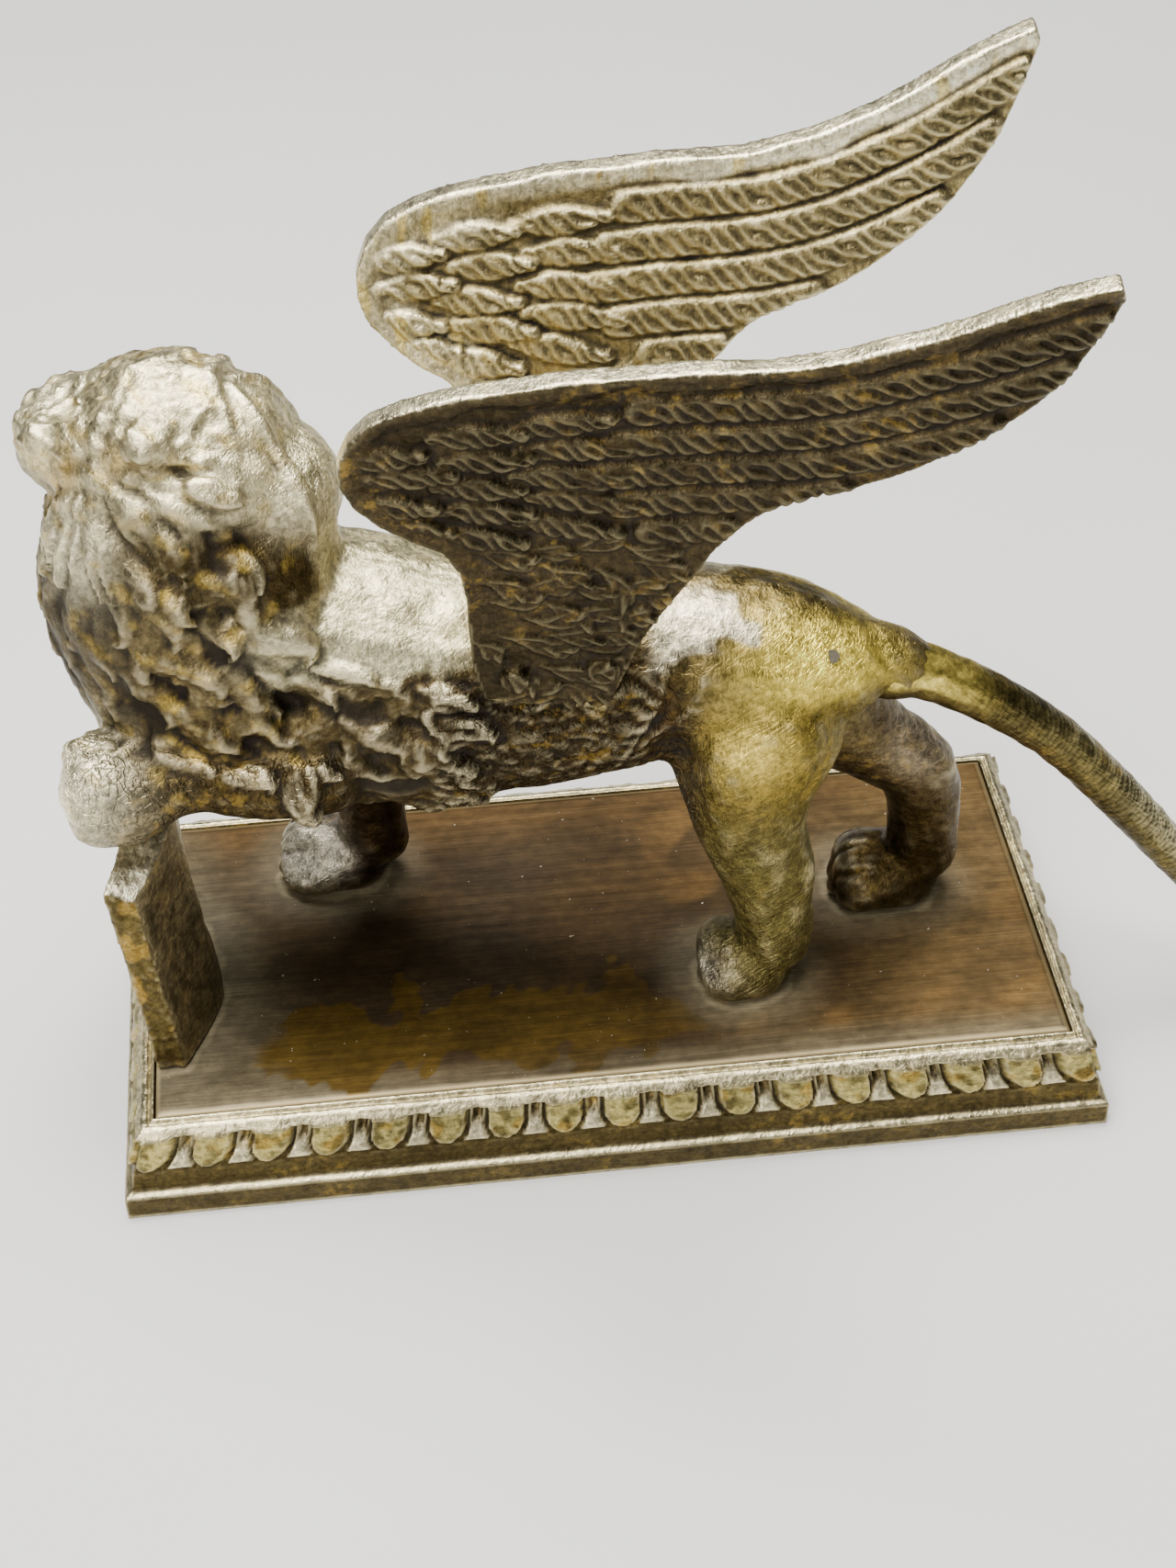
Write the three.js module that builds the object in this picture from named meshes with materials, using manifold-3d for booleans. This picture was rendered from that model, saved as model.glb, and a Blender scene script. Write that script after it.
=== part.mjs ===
// A cast bronze winged lion that stands on an egg-and-dart plinth with one forepaw on an open book.
// Millimetres, +Z up, +X from the head to the tail. The origin is under the middle of the footprint.
//
// The castings are a hollow plinth frame, a deck plate that drops into it, the lion, two wings, a
// tail and a book. Screws under the deck hold the paws and the book, and pins hold wings and tail.

import * as THREE from "three";
import { mergeVertices } from "three/addons/utils/BufferGeometryUtils.js";
import Module from "manifold-3d";

// Plinth
const PLINTH_LENGTH = 150;
const PLINTH_WIDTH = 73.8;
const DECK_HEIGHT = 15.7;
const FOOT_HEIGHT = 4.4;
const BAND_BOTTOM = 8.8;
const BAND_TOP = 14;
const BAND_INSET = 1.9;
const BAND_LEAN = 1.6;
const DARTS_ALONG = 16;
const DARTS_ACROSS = 8;
const EGG_WIDTH = 5.8;
const EGG_DEPTH = 0.9;
const DART_WIDTH = 4.6;
const DART_DEPTH = 0.6;
const WALL = 3.2;

// Deck plate, in a rebate of the frame
const DECK_INSET = 5.9;
const DECK_THICKNESS = 2.4;
const LEDGE = 3.4;
const LUG = 8;
const LUG_HEIGHT = 3.5;
const DECK_SCREW_INSET = 2.2;

// Lion: it stands a little askew on the plinth, and its own middle plane is y = 0
const LION_YAW = THREE.MathUtils.degToRad(-5.5);
const LION_SHIFT = -1;
const LEFT = -1;
const RIGHT = 1;
const WING_THICKNESS = 3.4;
const WING_ROOT_HEIGHT = 80;
const WING_ROOT_OUT = 14.5;
const WING_SPLAY = 0.2;
const WING_FLARE = 0.0011;
const WING_ROOT_SWELL = 7;

// Fasteners
const GAP = 0.3;
const PAW_SCREW = { radius: 1.6, head: 3.1, headHeight: 2, washer: 4.2, bite: 8 };
const BOOK_SCREW = { radius: 1, head: 2, headHeight: 1.4, washer: 2.8, bite: 9 };
const DECK_SCREW = { radius: 1, head: 2, headHeight: 1.4, bite: 1.7 };
const WASHER_THICKNESS = 0.8;
const PIN_RADIUS = 1;
const WING_PIN_REACH = 13;
const WING_PIN_DROP = 4;
const ROUND_SIDES = 12;

const ACROSS = new THREE.Vector3(0, 1, 0);

const wasm = await Module();
wasm.setup();

// Solids

function signedVolume(geometry) {
  const at = geometry.attributes.position;
  const index = geometry.index;
  const [a, b, c] = [new THREE.Vector3(), new THREE.Vector3(), new THREE.Vector3()];
  let volume = 0;
  for (let i = 0; i < index.count; i += 3) {
    a.fromBufferAttribute(at, index.getX(i));
    b.fromBufferAttribute(at, index.getX(i + 1));
    c.fromBufferAttribute(at, index.getX(i + 2));
    volume += a.dot(b.cross(c)) / 6;
  }
  return volume;
}

// A closed geometry as a solid, its faces turned outwards whatever way it was warped.
function toSolid(geometry) {
  const bare = geometry.clone();
  bare.deleteAttribute("normal");
  bare.deleteAttribute("uv");
  const merged = mergeVertices(bare, 1e-4);
  const triVerts = new Uint32Array(merged.index.array);
  if (signedVolume(merged) < 0) triVerts.reverse();
  const vertProperties = merged.attributes.position.array;
  return new wasm.Manifold(new wasm.Mesh({ numProp: 3, vertProperties, triVerts }));
}

function toGeometry(solid) {
  const mesh = solid.getMesh();
  const geometry = new THREE.BufferGeometry();
  geometry.setAttribute("position", new THREE.BufferAttribute(mesh.vertProperties, 3));
  geometry.setIndex(new THREE.BufferAttribute(mesh.triVerts, 1));
  const faceted = geometry.toNonIndexed();
  faceted.computeVertexNormals();
  return faceted;
}

function union(solids) {
  return solids.reduce((all, next) => all.add(next));
}

function box(low, high) {
  const size = new THREE.Vector3().subVectors(high, low);
  const middle = new THREE.Vector3().addVectors(low, high).multiplyScalar(0.5);
  const geometry = new THREE.BoxGeometry(size.x, size.y, size.z);
  return toSolid(geometry.translate(middle.x, middle.y, middle.z));
}

// A round bar between two points.
function rod(from, to, radius, sides = ROUND_SIDES) {
  const length = from.distanceTo(to);
  const geometry = new THREE.CylinderGeometry(radius, radius, length, sides);
  const way = new THREE.Vector3().subVectors(to, from).normalize();
  geometry.applyQuaternion(new THREE.Quaternion().setFromUnitVectors(ACROSS, way));
  const middle = new THREE.Vector3().addVectors(from, to).multiplyScalar(0.5);
  return toSolid(geometry.translate(middle.x, middle.y, middle.z));
}

// A rounded body along a smooth path. Each station is a ring round the path: its middle, its
// half-width `wide` towards `side` and its half-width `deep` square to that. `round` is the share
// of the path at each end over which the body closes.
function limb(stations, { sides = 12, rings = 14, side = ACROSS, round = 0.15, grow = 0 } = {}) {
  const path = new THREE.CatmullRomCurve3(stations.map((s) => new THREE.Vector3(...s.at)));
  const sizes = stations.map((s) => new THREE.Vector3(s.wide + grow, s.deep + grow, 0));
  const size = new THREE.CatmullRomCurve3(sizes);
  const geometry = new THREE.SphereGeometry(1, sides, rings);
  const position = geometry.attributes.position;
  const point = new THREE.Vector3();
  for (let i = 0; i < position.count; i += 1) {
    point.fromBufferAttribute(position, i);
    const t = Math.acos(THREE.MathUtils.clamp(point.y, -1, 1)) / Math.PI;
    const fromEnd = Math.min(1, Math.min(t, 1 - t) / round);
    const closing = Math.sqrt(1 - (1 - fromEnd) ** 2);
    const turn = Math.atan2(point.z, point.x);
    const tangent = path.getTangent(t);
    const wideWay = side.clone().addScaledVector(tangent, -side.dot(tangent)).normalize();
    const deepWay = new THREE.Vector3().crossVectors(tangent, wideWay);
    const { x: wide, y: deep } = size.getPoint(t);
    point.copy(path.getPoint(t));
    point.addScaledVector(wideWay, closing * wide * Math.cos(turn));
    point.addScaledVector(deepWay, closing * deep * Math.sin(turn));
    position.setXYZ(i, point.x, point.y, point.z);
  }
  return toSolid(geometry);
}

// Plinth frame

// A closed profile of [inset from the foot's edge, height] carried round the plinth with mitred
// corners: a four-sided lathe whose corners are pushed out to the rectangle.
function rectangularRing(profile) {
  const half = PLINTH_WIDTH / 2;
  const points = profile.map(([inset, z]) => new THREE.Vector2((half - inset) * Math.SQRT2, z));
  const geometry = new THREE.LatheGeometry([...points, points[0]], 4);
  geometry.rotateX(Math.PI / 2);
  geometry.rotateZ(Math.PI / 4);
  const position = geometry.attributes.position;
  const push = (PLINTH_LENGTH - PLINTH_WIDTH) / 2;
  for (let i = 0; i < position.count; i += 1) {
    position.setX(i, position.getX(i) + Math.sign(position.getX(i)) * push);
  }
  return toSolid(geometry);
}

function frameProfile() {
  const foot = [[0, 0], [0, FOOT_HEIGHT], [0.3, FOOT_HEIGHT + 0.3]];
  const fillet = [[1.1, FOOT_HEIGHT + 0.5], [1.5, 5.8], [1.7, BAND_BOTTOM - 0.6]];
  const band = [[BAND_INSET, BAND_BOTTOM], [BAND_INSET + BAND_LEAN, BAND_TOP]];
  const rim = [[3.2, 14.2], [3.5, 14.9], [4.1, 15.3], [4.6, 15.3]];
  const bead = [[4.9, 15], [5.2, 15.4], [DECK_INSET - 0.3, DECK_HEIGHT]];
  const rebateFloor = DECK_HEIGHT - DECK_THICKNESS - GAP;
  const rebate = [[DECK_INSET - 0.3, rebateFloor], [DECK_INSET + LEDGE, rebateFloor]];
  const inside = [[DECK_INSET + LEDGE, 10.4], [BAND_INSET + WALL, BAND_BOTTOM - 1], [WALL + 0.6, 0]];
  return [...foot, ...fillet, ...band, ...rim, ...bead, ...rebate, ...inside];
}

// An egg: a tongue with a flat top edge and a round bottom, seen from outside.
function eggShape() {
  const half = EGG_WIDTH / 2;
  const height = BAND_TOP - BAND_BOTTOM;
  const shape = new THREE.Shape();
  shape.moveTo(-half, height);
  shape.lineTo(-half, height * 0.55);
  shape.quadraticCurveTo(-half, 0, 0, -0.1);
  shape.quadraticCurveTo(half, 0, half, height * 0.55);
  shape.lineTo(half, height);
  return shape;
}

// A dart: a bell, narrow at the top and flared at the bottom.
function dartShape() {
  const half = DART_WIDTH / 2;
  const height = BAND_TOP - BAND_BOTTOM;
  const shape = new THREE.Shape();
  shape.moveTo(-half, 0);
  shape.lineTo(half, 0);
  shape.lineTo(half * 0.35, height * 0.5);
  shape.lineTo(0, height * 0.8);
  shape.lineTo(-half * 0.35, height * 0.5);
  return shape;
}

// One ornament on the leaning band of the side that faces `turn`, `along` it from its middle.
function onBand(shape, depth, along, turn, halfWidth) {
  const geometry = new THREE.ExtrudeGeometry(shape, {
    depth: depth + 0.5,
    bevelEnabled: false,
    curveSegments: 3,
  });
  geometry.translate(0, 0, -0.5);
  geometry.rotateX(Math.PI / 2 - Math.atan2(BAND_LEAN, BAND_TOP - BAND_BOTTOM));
  geometry.translate(along, BAND_INSET - halfWidth, BAND_BOTTOM);
  geometry.rotateZ(turn);
  return toSolid(geometry);
}

function ornaments(length, darts, turn, halfWidth) {
  const pitch = (length - 2 * BAND_INSET - BAND_LEAN) / darts;
  const made = [];
  for (let i = 0; i < darts; i += 1) {
    const along = (i - (darts - 1) / 2) * pitch;
    made.push(onBand(dartShape(), DART_DEPTH, along, turn, halfWidth));
    if (i > 0) made.push(onBand(eggShape(), EGG_DEPTH, along - pitch / 2, turn, halfWidth));
  }
  return union(made);
}

// Where the deck screws stand, inside the four corners.
function deckScrewPlaces() {
  const inset = DECK_INSET + LEDGE + DECK_SCREW_INSET;
  const places = [];
  for (const x of [-1, 1]) {
    for (const y of [-1, 1]) {
      places.push([x * (PLINTH_LENGTH / 2 - inset), y * (PLINTH_WIDTH / 2 - inset)]);
    }
  }
  return places;
}

function cornerLug([x, y]) {
  const top = DECK_HEIGHT - DECK_THICKNESS - GAP;
  const outX = Math.sign(x) * LUG;
  const outY = Math.sign(y) * LUG;
  const corners = [new THREE.Vector3(x - outX * 0.5, y - outY * 0.5, top - LUG_HEIGHT)];
  corners.push(new THREE.Vector3(x + outX * 0.5, y + outY * 0.5, top));
  const bounds = new THREE.Box3().setFromPoints(corners);
  return box(bounds.min, bounds.max);
}

function plinthFrame() {
  let solid = rectangularRing(frameProfile());
  for (const turn of [0, Math.PI]) {
    solid = solid.add(ornaments(PLINTH_LENGTH, DARTS_ALONG, turn, PLINTH_WIDTH / 2));
    solid = solid.add(ornaments(PLINTH_WIDTH, DARTS_ACROSS, turn + Math.PI / 2, PLINTH_LENGTH / 2));
  }
  for (const at of deckScrewPlaces()) {
    solid = solid.add(cornerLug(at));
    solid = solid.subtract(upright(at, 0, DECK_HEIGHT, DECK_SCREW.radius + GAP));
  }
  return solid;
}

function upright([x, y], bottom, top, radius) {
  return rod(new THREE.Vector3(x, y, bottom), new THREE.Vector3(x, y, top), radius);
}

// Lion

function onDeck([x, y]) {
  const at = new THREE.Vector3(x, y, 0).applyAxisAngle(new THREE.Vector3(0, 0, 1), LION_YAW);
  return [at.x, at.y + LION_SHIFT];
}

const PAWS = {
  right_fore: [-37, 15.5],
  left_hind: [26.5, -10],
  right_hind: [51.5, 9],
};
const BOOK_SPINE = [-60.2, -12.5];

function torso(grow) {
  return limb(
    [
      { at: [-52, 0, 72], wide: 13, deep: 18 },
      { at: [-38, 0, 71], wide: 17, deep: 22 },
      { at: [-22, 0, 69.5], wide: 17, deep: 19.5 },
      { at: [-5, 0, 69.5], wide: 15.5, deep: 16.5 },
      { at: [12, 0, 71], wide: 13.5, deep: 15 },
      { at: [26, 0, 71.2], wide: 12, deep: 12.6 },
      { at: [36, 0, 69.9], wide: 9, deep: 8.8 },
      { at: [44, 0, 68.8], wide: 4.4, deep: 4.9 },
    ],
    { grow, rings: 18, sides: 16, round: 0.1 },
  );
}

// Mane, neck and chest: one thick column from the crown down to the brisket.
function mane(grow) {
  return limb(
    [
      { at: [-50.5, 0, 117], wide: 9, deep: 8.5 },
      { at: [-51, 0, 110], wide: 13.5, deep: 13.5 },
      { at: [-53, 0, 100], wide: 17, deep: 18.8 },
      { at: [-55.5, 0, 88], wide: 19, deep: 22 },
      { at: [-53.5, 0, 76], wide: 19, deep: 21 },
      { at: [-47, 0, 64], wide: 17.5, deep: 17 },
      { at: [-42, 0, 53], wide: 13, deep: 14 },
    ],
    { grow, rings: 16, sides: 16, round: 0.1 },
  );
}

function head(grow) {
  const skull = limb(
    [
      { at: [-44, -2, 111.5], wide: 10.5, deep: 9.8 },
      { at: [-57, 0.5, 111], wide: 12, deep: 11.5 },
      { at: [-68, 4, 109], wide: 9.5, deep: 9.5 },
      { at: [-76.5, 8, 107], wide: 6.8, deep: 6.8 },
    ],
    { grow, round: 0.2 },
  );
  const jaw = limb(
    [
      { at: [-60, 3, 99], wide: 9, deep: 8 },
      { at: [-67, 6, 99.5], wide: 7, deep: 6 },
      { at: [-72, 8, 100], wide: 5, deep: 4.5 },
    ],
    { grow, round: 0.25, rings: 10 },
  );
  const ears = [ear([-56, -9.5, 116.5], LEFT, grow), ear([-51, 10.5, 112], RIGHT, grow)];
  return union([skull, jaw, ...ears]);
}

function ear([x, y, z], side, grow) {
  return limb(
    [
      { at: [x, y - side * 2, z - 3], wide: 3.2, deep: 3.6 },
      { at: [x - 0.5, y, z], wide: 2.6, deep: 3.2 },
      { at: [x - 1, y + side, z + 2.4], wide: 1.4, deep: 1.8 },
    ],
    { grow, sides: 10, rings: 8, round: 0.3 },
  );
}

// A paw flat on the deck, from the heel at `at` forward over `reach`.
function flatPaw([x, y], reach, grow) {
  return limb(
    [
      { at: [x + 4, y, 18], wide: 5.6, deep: 5.4 },
      { at: [x - reach * 0.3, y, 19], wide: 6.8, deep: 6.4 },
      { at: [x - reach * 0.7, y, 19], wide: 7.4, deep: 6.2 },
      { at: [x - reach, y, 17.5], wide: 6.6, deep: 4.8 },
    ],
    { grow, rings: 10, round: 0.25 },
  );
}

function standingForeleg(grow) {
  const [x, y] = PAWS.right_fore;
  const leg = limb(
    [
      { at: [-40, 11, 70], wide: 8, deep: 11 },
      { at: [-37, 13.5, 54], wide: 7.5, deep: 8.5 },
      { at: [-35.5, 15, 40], wide: 5.8, deep: 6 },
      { at: [-35.4, 15.5, 28], wide: 5.2, deep: 5.4 },
      { at: [-35.5, 15.5, 18], wide: 5.6, deep: 6 },
    ],
    { grow, round: 0.1 },
  );
  return leg.add(flatPaw([x, y], 13, grow));
}

function raisedForeleg(grow) {
  return limb(
    [
      { at: [-32, -9, 64], wide: 8, deep: 9.5 },
      { at: [-45, -13.5, 63.5], wide: 7.4, deep: 7.4 },
      { at: [-57, -16.5, 65.5], wide: 5.6, deep: 5.2 },
      { at: [-67, -17.5, 64], wide: 8, deep: 8.4 },
      { at: [-75.5, -18, 63.5], wide: 6.8, deep: 7.4 },
    ],
    { grow, round: 0.12 },
  );
}

function leftHindLeg(grow) {
  const leg = limb(
    [
      { at: [27, -4, 72], wide: 8, deep: 12 },
      { at: [23, -7.5, 62], wide: 8, deep: 13 },
      { at: [22.5, -9.5, 51], wide: 7, deep: 9 },
      { at: [25, -10, 40], wide: 5.8, deep: 7 },
      { at: [27, -10, 29], wide: 5.4, deep: 6 },
      { at: [26.5, -10, 18], wide: 5.8, deep: 6.2 },
    ],
    { grow, rings: 15, round: 0.1 },
  );
  return leg.add(flatPaw(PAWS.left_hind, 10, grow));
}

function rightHindLeg(grow) {
  const leg = limb(
    [
      { at: [27, 4, 70], wide: 8, deep: 12 },
      { at: [33, 7, 59], wide: 7.5, deep: 10.5 },
      { at: [41, 8.5, 49], wide: 6.2, deep: 7.4 },
      { at: [50, 9, 41], wide: 5.4, deep: 6.2 },
      { at: [52, 9, 30], wide: 5.2, deep: 5.6 },
      { at: [51.5, 9, 18], wide: 5.8, deep: 6.2 },
    ],
    { grow, rings: 15, round: 0.1 },
  );
  return leg.add(flatPaw(PAWS.right_hind, 13, grow));
}

// The whole lion without its bores. `grow` swells it all over, for cutting what lies against it.
function lionForm(grow = 0) {
  const legs = [standingForeleg(grow), raisedForeleg(grow), leftHindLeg(grow), rightHindLeg(grow)];
  const form = union([torso(grow), mane(grow), head(grow), ...legs]);
  const below = new THREE.Vector3(-PLINTH_LENGTH, -PLINTH_WIDTH, 0);
  const deckTop = new THREE.Vector3(PLINTH_LENGTH, PLINTH_WIDTH, DECK_HEIGHT + GAP);
  return form.subtract(box(below, deckTop));
}

// Wings

const WING_FRONT = new THREE.CatmullRomCurve3(
  [
    [-14, 72], [-16.2, 84], [-16.6, 96], [-18, 105.5], [-25, 110.5], [-30.5, 116.5], [-31.2, 123],
    [-27, 129.5], [-19, 132.7], [-8, 135], [8, 136.8], [26, 138], [41, 143], [54, 149.5], [60.3, 151.8],
  ].map(([x, z]) => new THREE.Vector3(x, 0, z)),
);
const WING_BACK = new THREE.CatmullRomCurve3(
  [
    [2, 73], [4.5, 82], [8, 91], [12.5, 99.5], [17, 107.5], [24, 114.5], [33, 117.5], [41, 121.8],
    [49, 128], [54.5, 134.5], [58, 141], [60, 146.5], [61, 149.5],
  ].map(([x, z]) => new THREE.Vector3(x, 0, z)),
);

// How far the middle of a wing stands out from the lion's middle plane.
function wingOut(x, z) {
  return WING_ROOT_OUT + WING_SPLAY * (z - WING_ROOT_HEIGHT) + WING_FLARE * Math.max(x, 0) ** 2;
}

// The wing's ribs run from its front edge to its back edge, from the root at the flank to the tip.
function wing(side) {
  const geometry = new THREE.BoxGeometry(1, 1, 1, 26, 1, 5);
  const position = geometry.attributes.position;
  for (let i = 0; i < position.count; i += 1) {
    const t = position.getX(i) + 0.5;
    const share = position.getZ(i) + 0.5;
    const at = WING_FRONT.getPoint(t).lerp(WING_BACK.getPoint(t), share);
    const isInside = position.getY(i) < 0;
    const root = THREE.MathUtils.smoothstep(WING_ROOT_HEIGHT + 14 - at.z, 0, 14);
    const half = WING_THICKNESS * 0.5 * THREE.MathUtils.lerp(1, 0.7, share);
    const out = wingOut(at.x, at.z) + (isInside ? -half - WING_ROOT_SWELL * root : half);
    position.setXYZ(i, at.x, side * out, at.z);
  }
  return toSolid(geometry);
}

const WING_PINS = {
  front: { at: [-10.5, 82], proud: -0.6 },
  rear: { at: [1.4, 83.4], proud: 0.4 },
};

// A pin that slopes down from the outside of a wing's root into the flank. Its head stands `proud`
// of the wing's face, or below it; `beyond` draws it out further, for a bore.
function wingPin(side, { at: [x, z], proud }, radius, beyond = 0) {
  const face = new THREE.Vector3(x, side * (wingOut(x, z) + WING_THICKNESS * 0.5), z);
  const inwards = new THREE.Vector3(0, -side * WING_PIN_REACH, -WING_PIN_DROP);
  const to = face.clone().add(inwards);
  return rod(face.addScaledVector(inwards.normalize(), -proud - beyond), to, radius);
}

// Tail: from the rump down past the plinth's end, its last part and its tuft turned up.
function tailForm() {
  const hair = limb(
    [
      { at: [40, 0, 70.6], wide: 4.8, deep: 5.4 },
      { at: [50, 0, 67], wide: 4, deep: 4.3 },
      { at: [60, 0, 61.2], wide: 3.8, deep: 4 },
      { at: [69, 0, 54.2], wide: 3.6, deep: 3.8 },
      { at: [79, 0, 43.2], wide: 3.5, deep: 3.7 },
      { at: [89, 0, 31], wide: 3.3, deep: 3.4 },
      { at: [98, 0, 20.5], wide: 3, deep: 3 },
      { at: [107, 0, 14.5], wide: 3, deep: 3 },
    ],
    { sides: 10, rings: 26, round: 0.03 },
  );
  const tuft = limb(
    [
      { at: [103, 0, 16.5], wide: 2.6, deep: 2.6 },
      { at: [109, 0, 13.6], wide: 4.6, deep: 4.4 },
      { at: [115.5, 0, 14], wide: 5, deep: 4.8 },
      { at: [121.5, 0, 18], wide: 3, deep: 3 },
      { at: [124.5, 0, 22], wide: 1, deep: 1 },
    ],
    { sides: 10, rings: 12, round: 0.15 },
  );
  return hair.add(tuft);
}

const TAIL_SPIGOT = { from: new THREE.Vector3(45, 0, 69), to: new THREE.Vector3(30, 0, 73), radius: 2.8 };
const TAIL_PIN = { from: new THREE.Vector3(33.7, -7.7, 77.2), to: new THREE.Vector3(33.7, 4, 69.4) };

// Book: two wedge-shaped leaves that meet at a spine and open towards the front. The whole book
// leans forward, and its top edge falls towards the ends of the leaves.
const BOOK_LEAF = { reach: 4.4, span: 14.6, endThickness: 4.4, spineThickness: 7.5 };
const BOOK_HEIGHT = 39;
const BOOK_LEAN = -3.2;
const BOOK_TOP_FALL = 4.5;

function bookLeaf(side) {
  const geometry = new THREE.BoxGeometry(1, 1, 1, 4, 1, 4);
  const position = geometry.attributes.position;
  const { reach, span, endThickness, spineThickness } = BOOK_LEAF;
  for (let i = 0; i < position.count; i += 1) {
    const along = position.getX(i) + 0.5;
    const inwards = position.getY(i) + 0.5;
    const up = position.getZ(i) + 0.5;
    const thickness = THREE.MathUtils.lerp(spineThickness, endThickness, along);
    const top = BOOK_HEIGHT - BOOK_TOP_FALL * along * (1 - 0.5 * inwards);
    const x = BOOK_SPINE[0] + 2.4 - reach * along ** 1.5 - thickness * inwards + BOOK_LEAN * up;
    const y = BOOK_SPINE[1] + side * span * along;
    position.setXYZ(i, x, y, DECK_HEIGHT + GAP + top * up);
  }
  return toSolid(geometry);
}

function book() {
  return union([bookLeaf(LEFT), bookLeaf(RIGHT)]);
}

// Fasteners under the deck

function washer(at, { radius, washer: rim }, top) {
  const disc = upright(at, top - WASHER_THICKNESS, top, rim);
  return disc.subtract(upright(at, top - 3, top + 3, radius + GAP));
}

function screw(at, { radius, head: headRadius, headHeight, bite }, under, top) {
  const headPart = upright(at, under - headHeight, under, headRadius);
  const shank = upright(at, under - headHeight * 0.5, top + bite, radius);
  const slot = box(
    new THREE.Vector3(at[0] - headRadius, at[1] - 0.35, under - headHeight - 1),
    new THREE.Vector3(at[0] + headRadius, at[1] + 0.35, under - headHeight + 0.7),
  );
  return headPart.add(shank).subtract(slot);
}

// Assembly

const METALS = {
  bronze: { color: 0x6b5a35, roughness: 0.42, metalness: 1 },
  wing_bronze: { color: 0x4d4128, roughness: 0.45, metalness: 1 },
  moulding: { color: 0x8f8355, roughness: 0.4, metalness: 1 },
  deck: { color: 0x6a4a30, roughness: 0.5, metalness: 1 },
  book: { color: 0x5d4c2c, roughness: 0.5, metalness: 1 },
  pin: { color: 0x77705a, roughness: 0.35, metalness: 1 },
  steel: { color: 0x8d8d88, roughness: 0.35, metalness: 1 },
};

function part(name, solid, metal) {
  const mesh = new THREE.Mesh(toGeometry(solid), new THREE.MeshStandardMaterial(METALS[metal]));
  mesh.name = name;
  return mesh;
}

function deckPlate(screwPlaces) {
  const halfLength = PLINTH_LENGTH / 2 - DECK_INSET;
  const halfWidth = PLINTH_WIDTH / 2 - DECK_INSET;
  const bottom = DECK_HEIGHT - DECK_THICKNESS;
  let solid = box(
    new THREE.Vector3(-halfLength, -halfWidth, bottom),
    new THREE.Vector3(halfLength, halfWidth, DECK_HEIGHT),
  );
  for (const { at, radius } of screwPlaces) {
    solid = solid.subtract(upright(at, bottom - 1, DECK_HEIGHT + 1, radius));
  }
  for (const at of deckScrewPlaces()) {
    const top = bottom + DECK_SCREW.bite + GAP;
    solid = solid.subtract(upright(at, bottom - 1, top, DECK_SCREW.radius + GAP));
  }
  return solid;
}

function buildPlinth() {
  const group = new THREE.Group();
  const underDeck = DECK_HEIGHT - DECK_THICKNESS - GAP;
  const under = underDeck - WASHER_THICKNESS - GAP;
  const holes = Object.values(PAWS).map((place) => ({
    at: onDeck(place),
    radius: PAW_SCREW.radius + GAP,
  }));
  holes.push({ at: onDeck(BOOK_SPINE), radius: BOOK_SCREW.radius + GAP });
  group.add(part("plinth_frame", plinthFrame(), "moulding"));
  group.add(part("deck_plate", deckPlate(holes), "deck"));
  for (const [name, place] of Object.entries(PAWS)) {
    const at = onDeck(place);
    group.add(part(`${name}_paw_washer`, washer(at, PAW_SCREW, underDeck), "steel"));
    group.add(part(`${name}_paw_screw`, screw(at, PAW_SCREW, under, DECK_HEIGHT), "steel"));
  }
  const at = onDeck(BOOK_SPINE);
  group.add(part("book_washer", washer(at, BOOK_SCREW, underDeck), "steel"));
  group.add(part("book_screw", screw(at, BOOK_SCREW, under, DECK_HEIGHT), "steel"));
  deckScrewPlaces().forEach((place, i) => {
    const lugBottom = underDeck - LUG_HEIGHT - GAP;
    const top = DECK_HEIGHT - DECK_THICKNESS;
    group.add(part(`deck_screw_${i + 1}`, screw(place, DECK_SCREW, lugBottom, top), "steel"));
  });
  return group;
}

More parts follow.
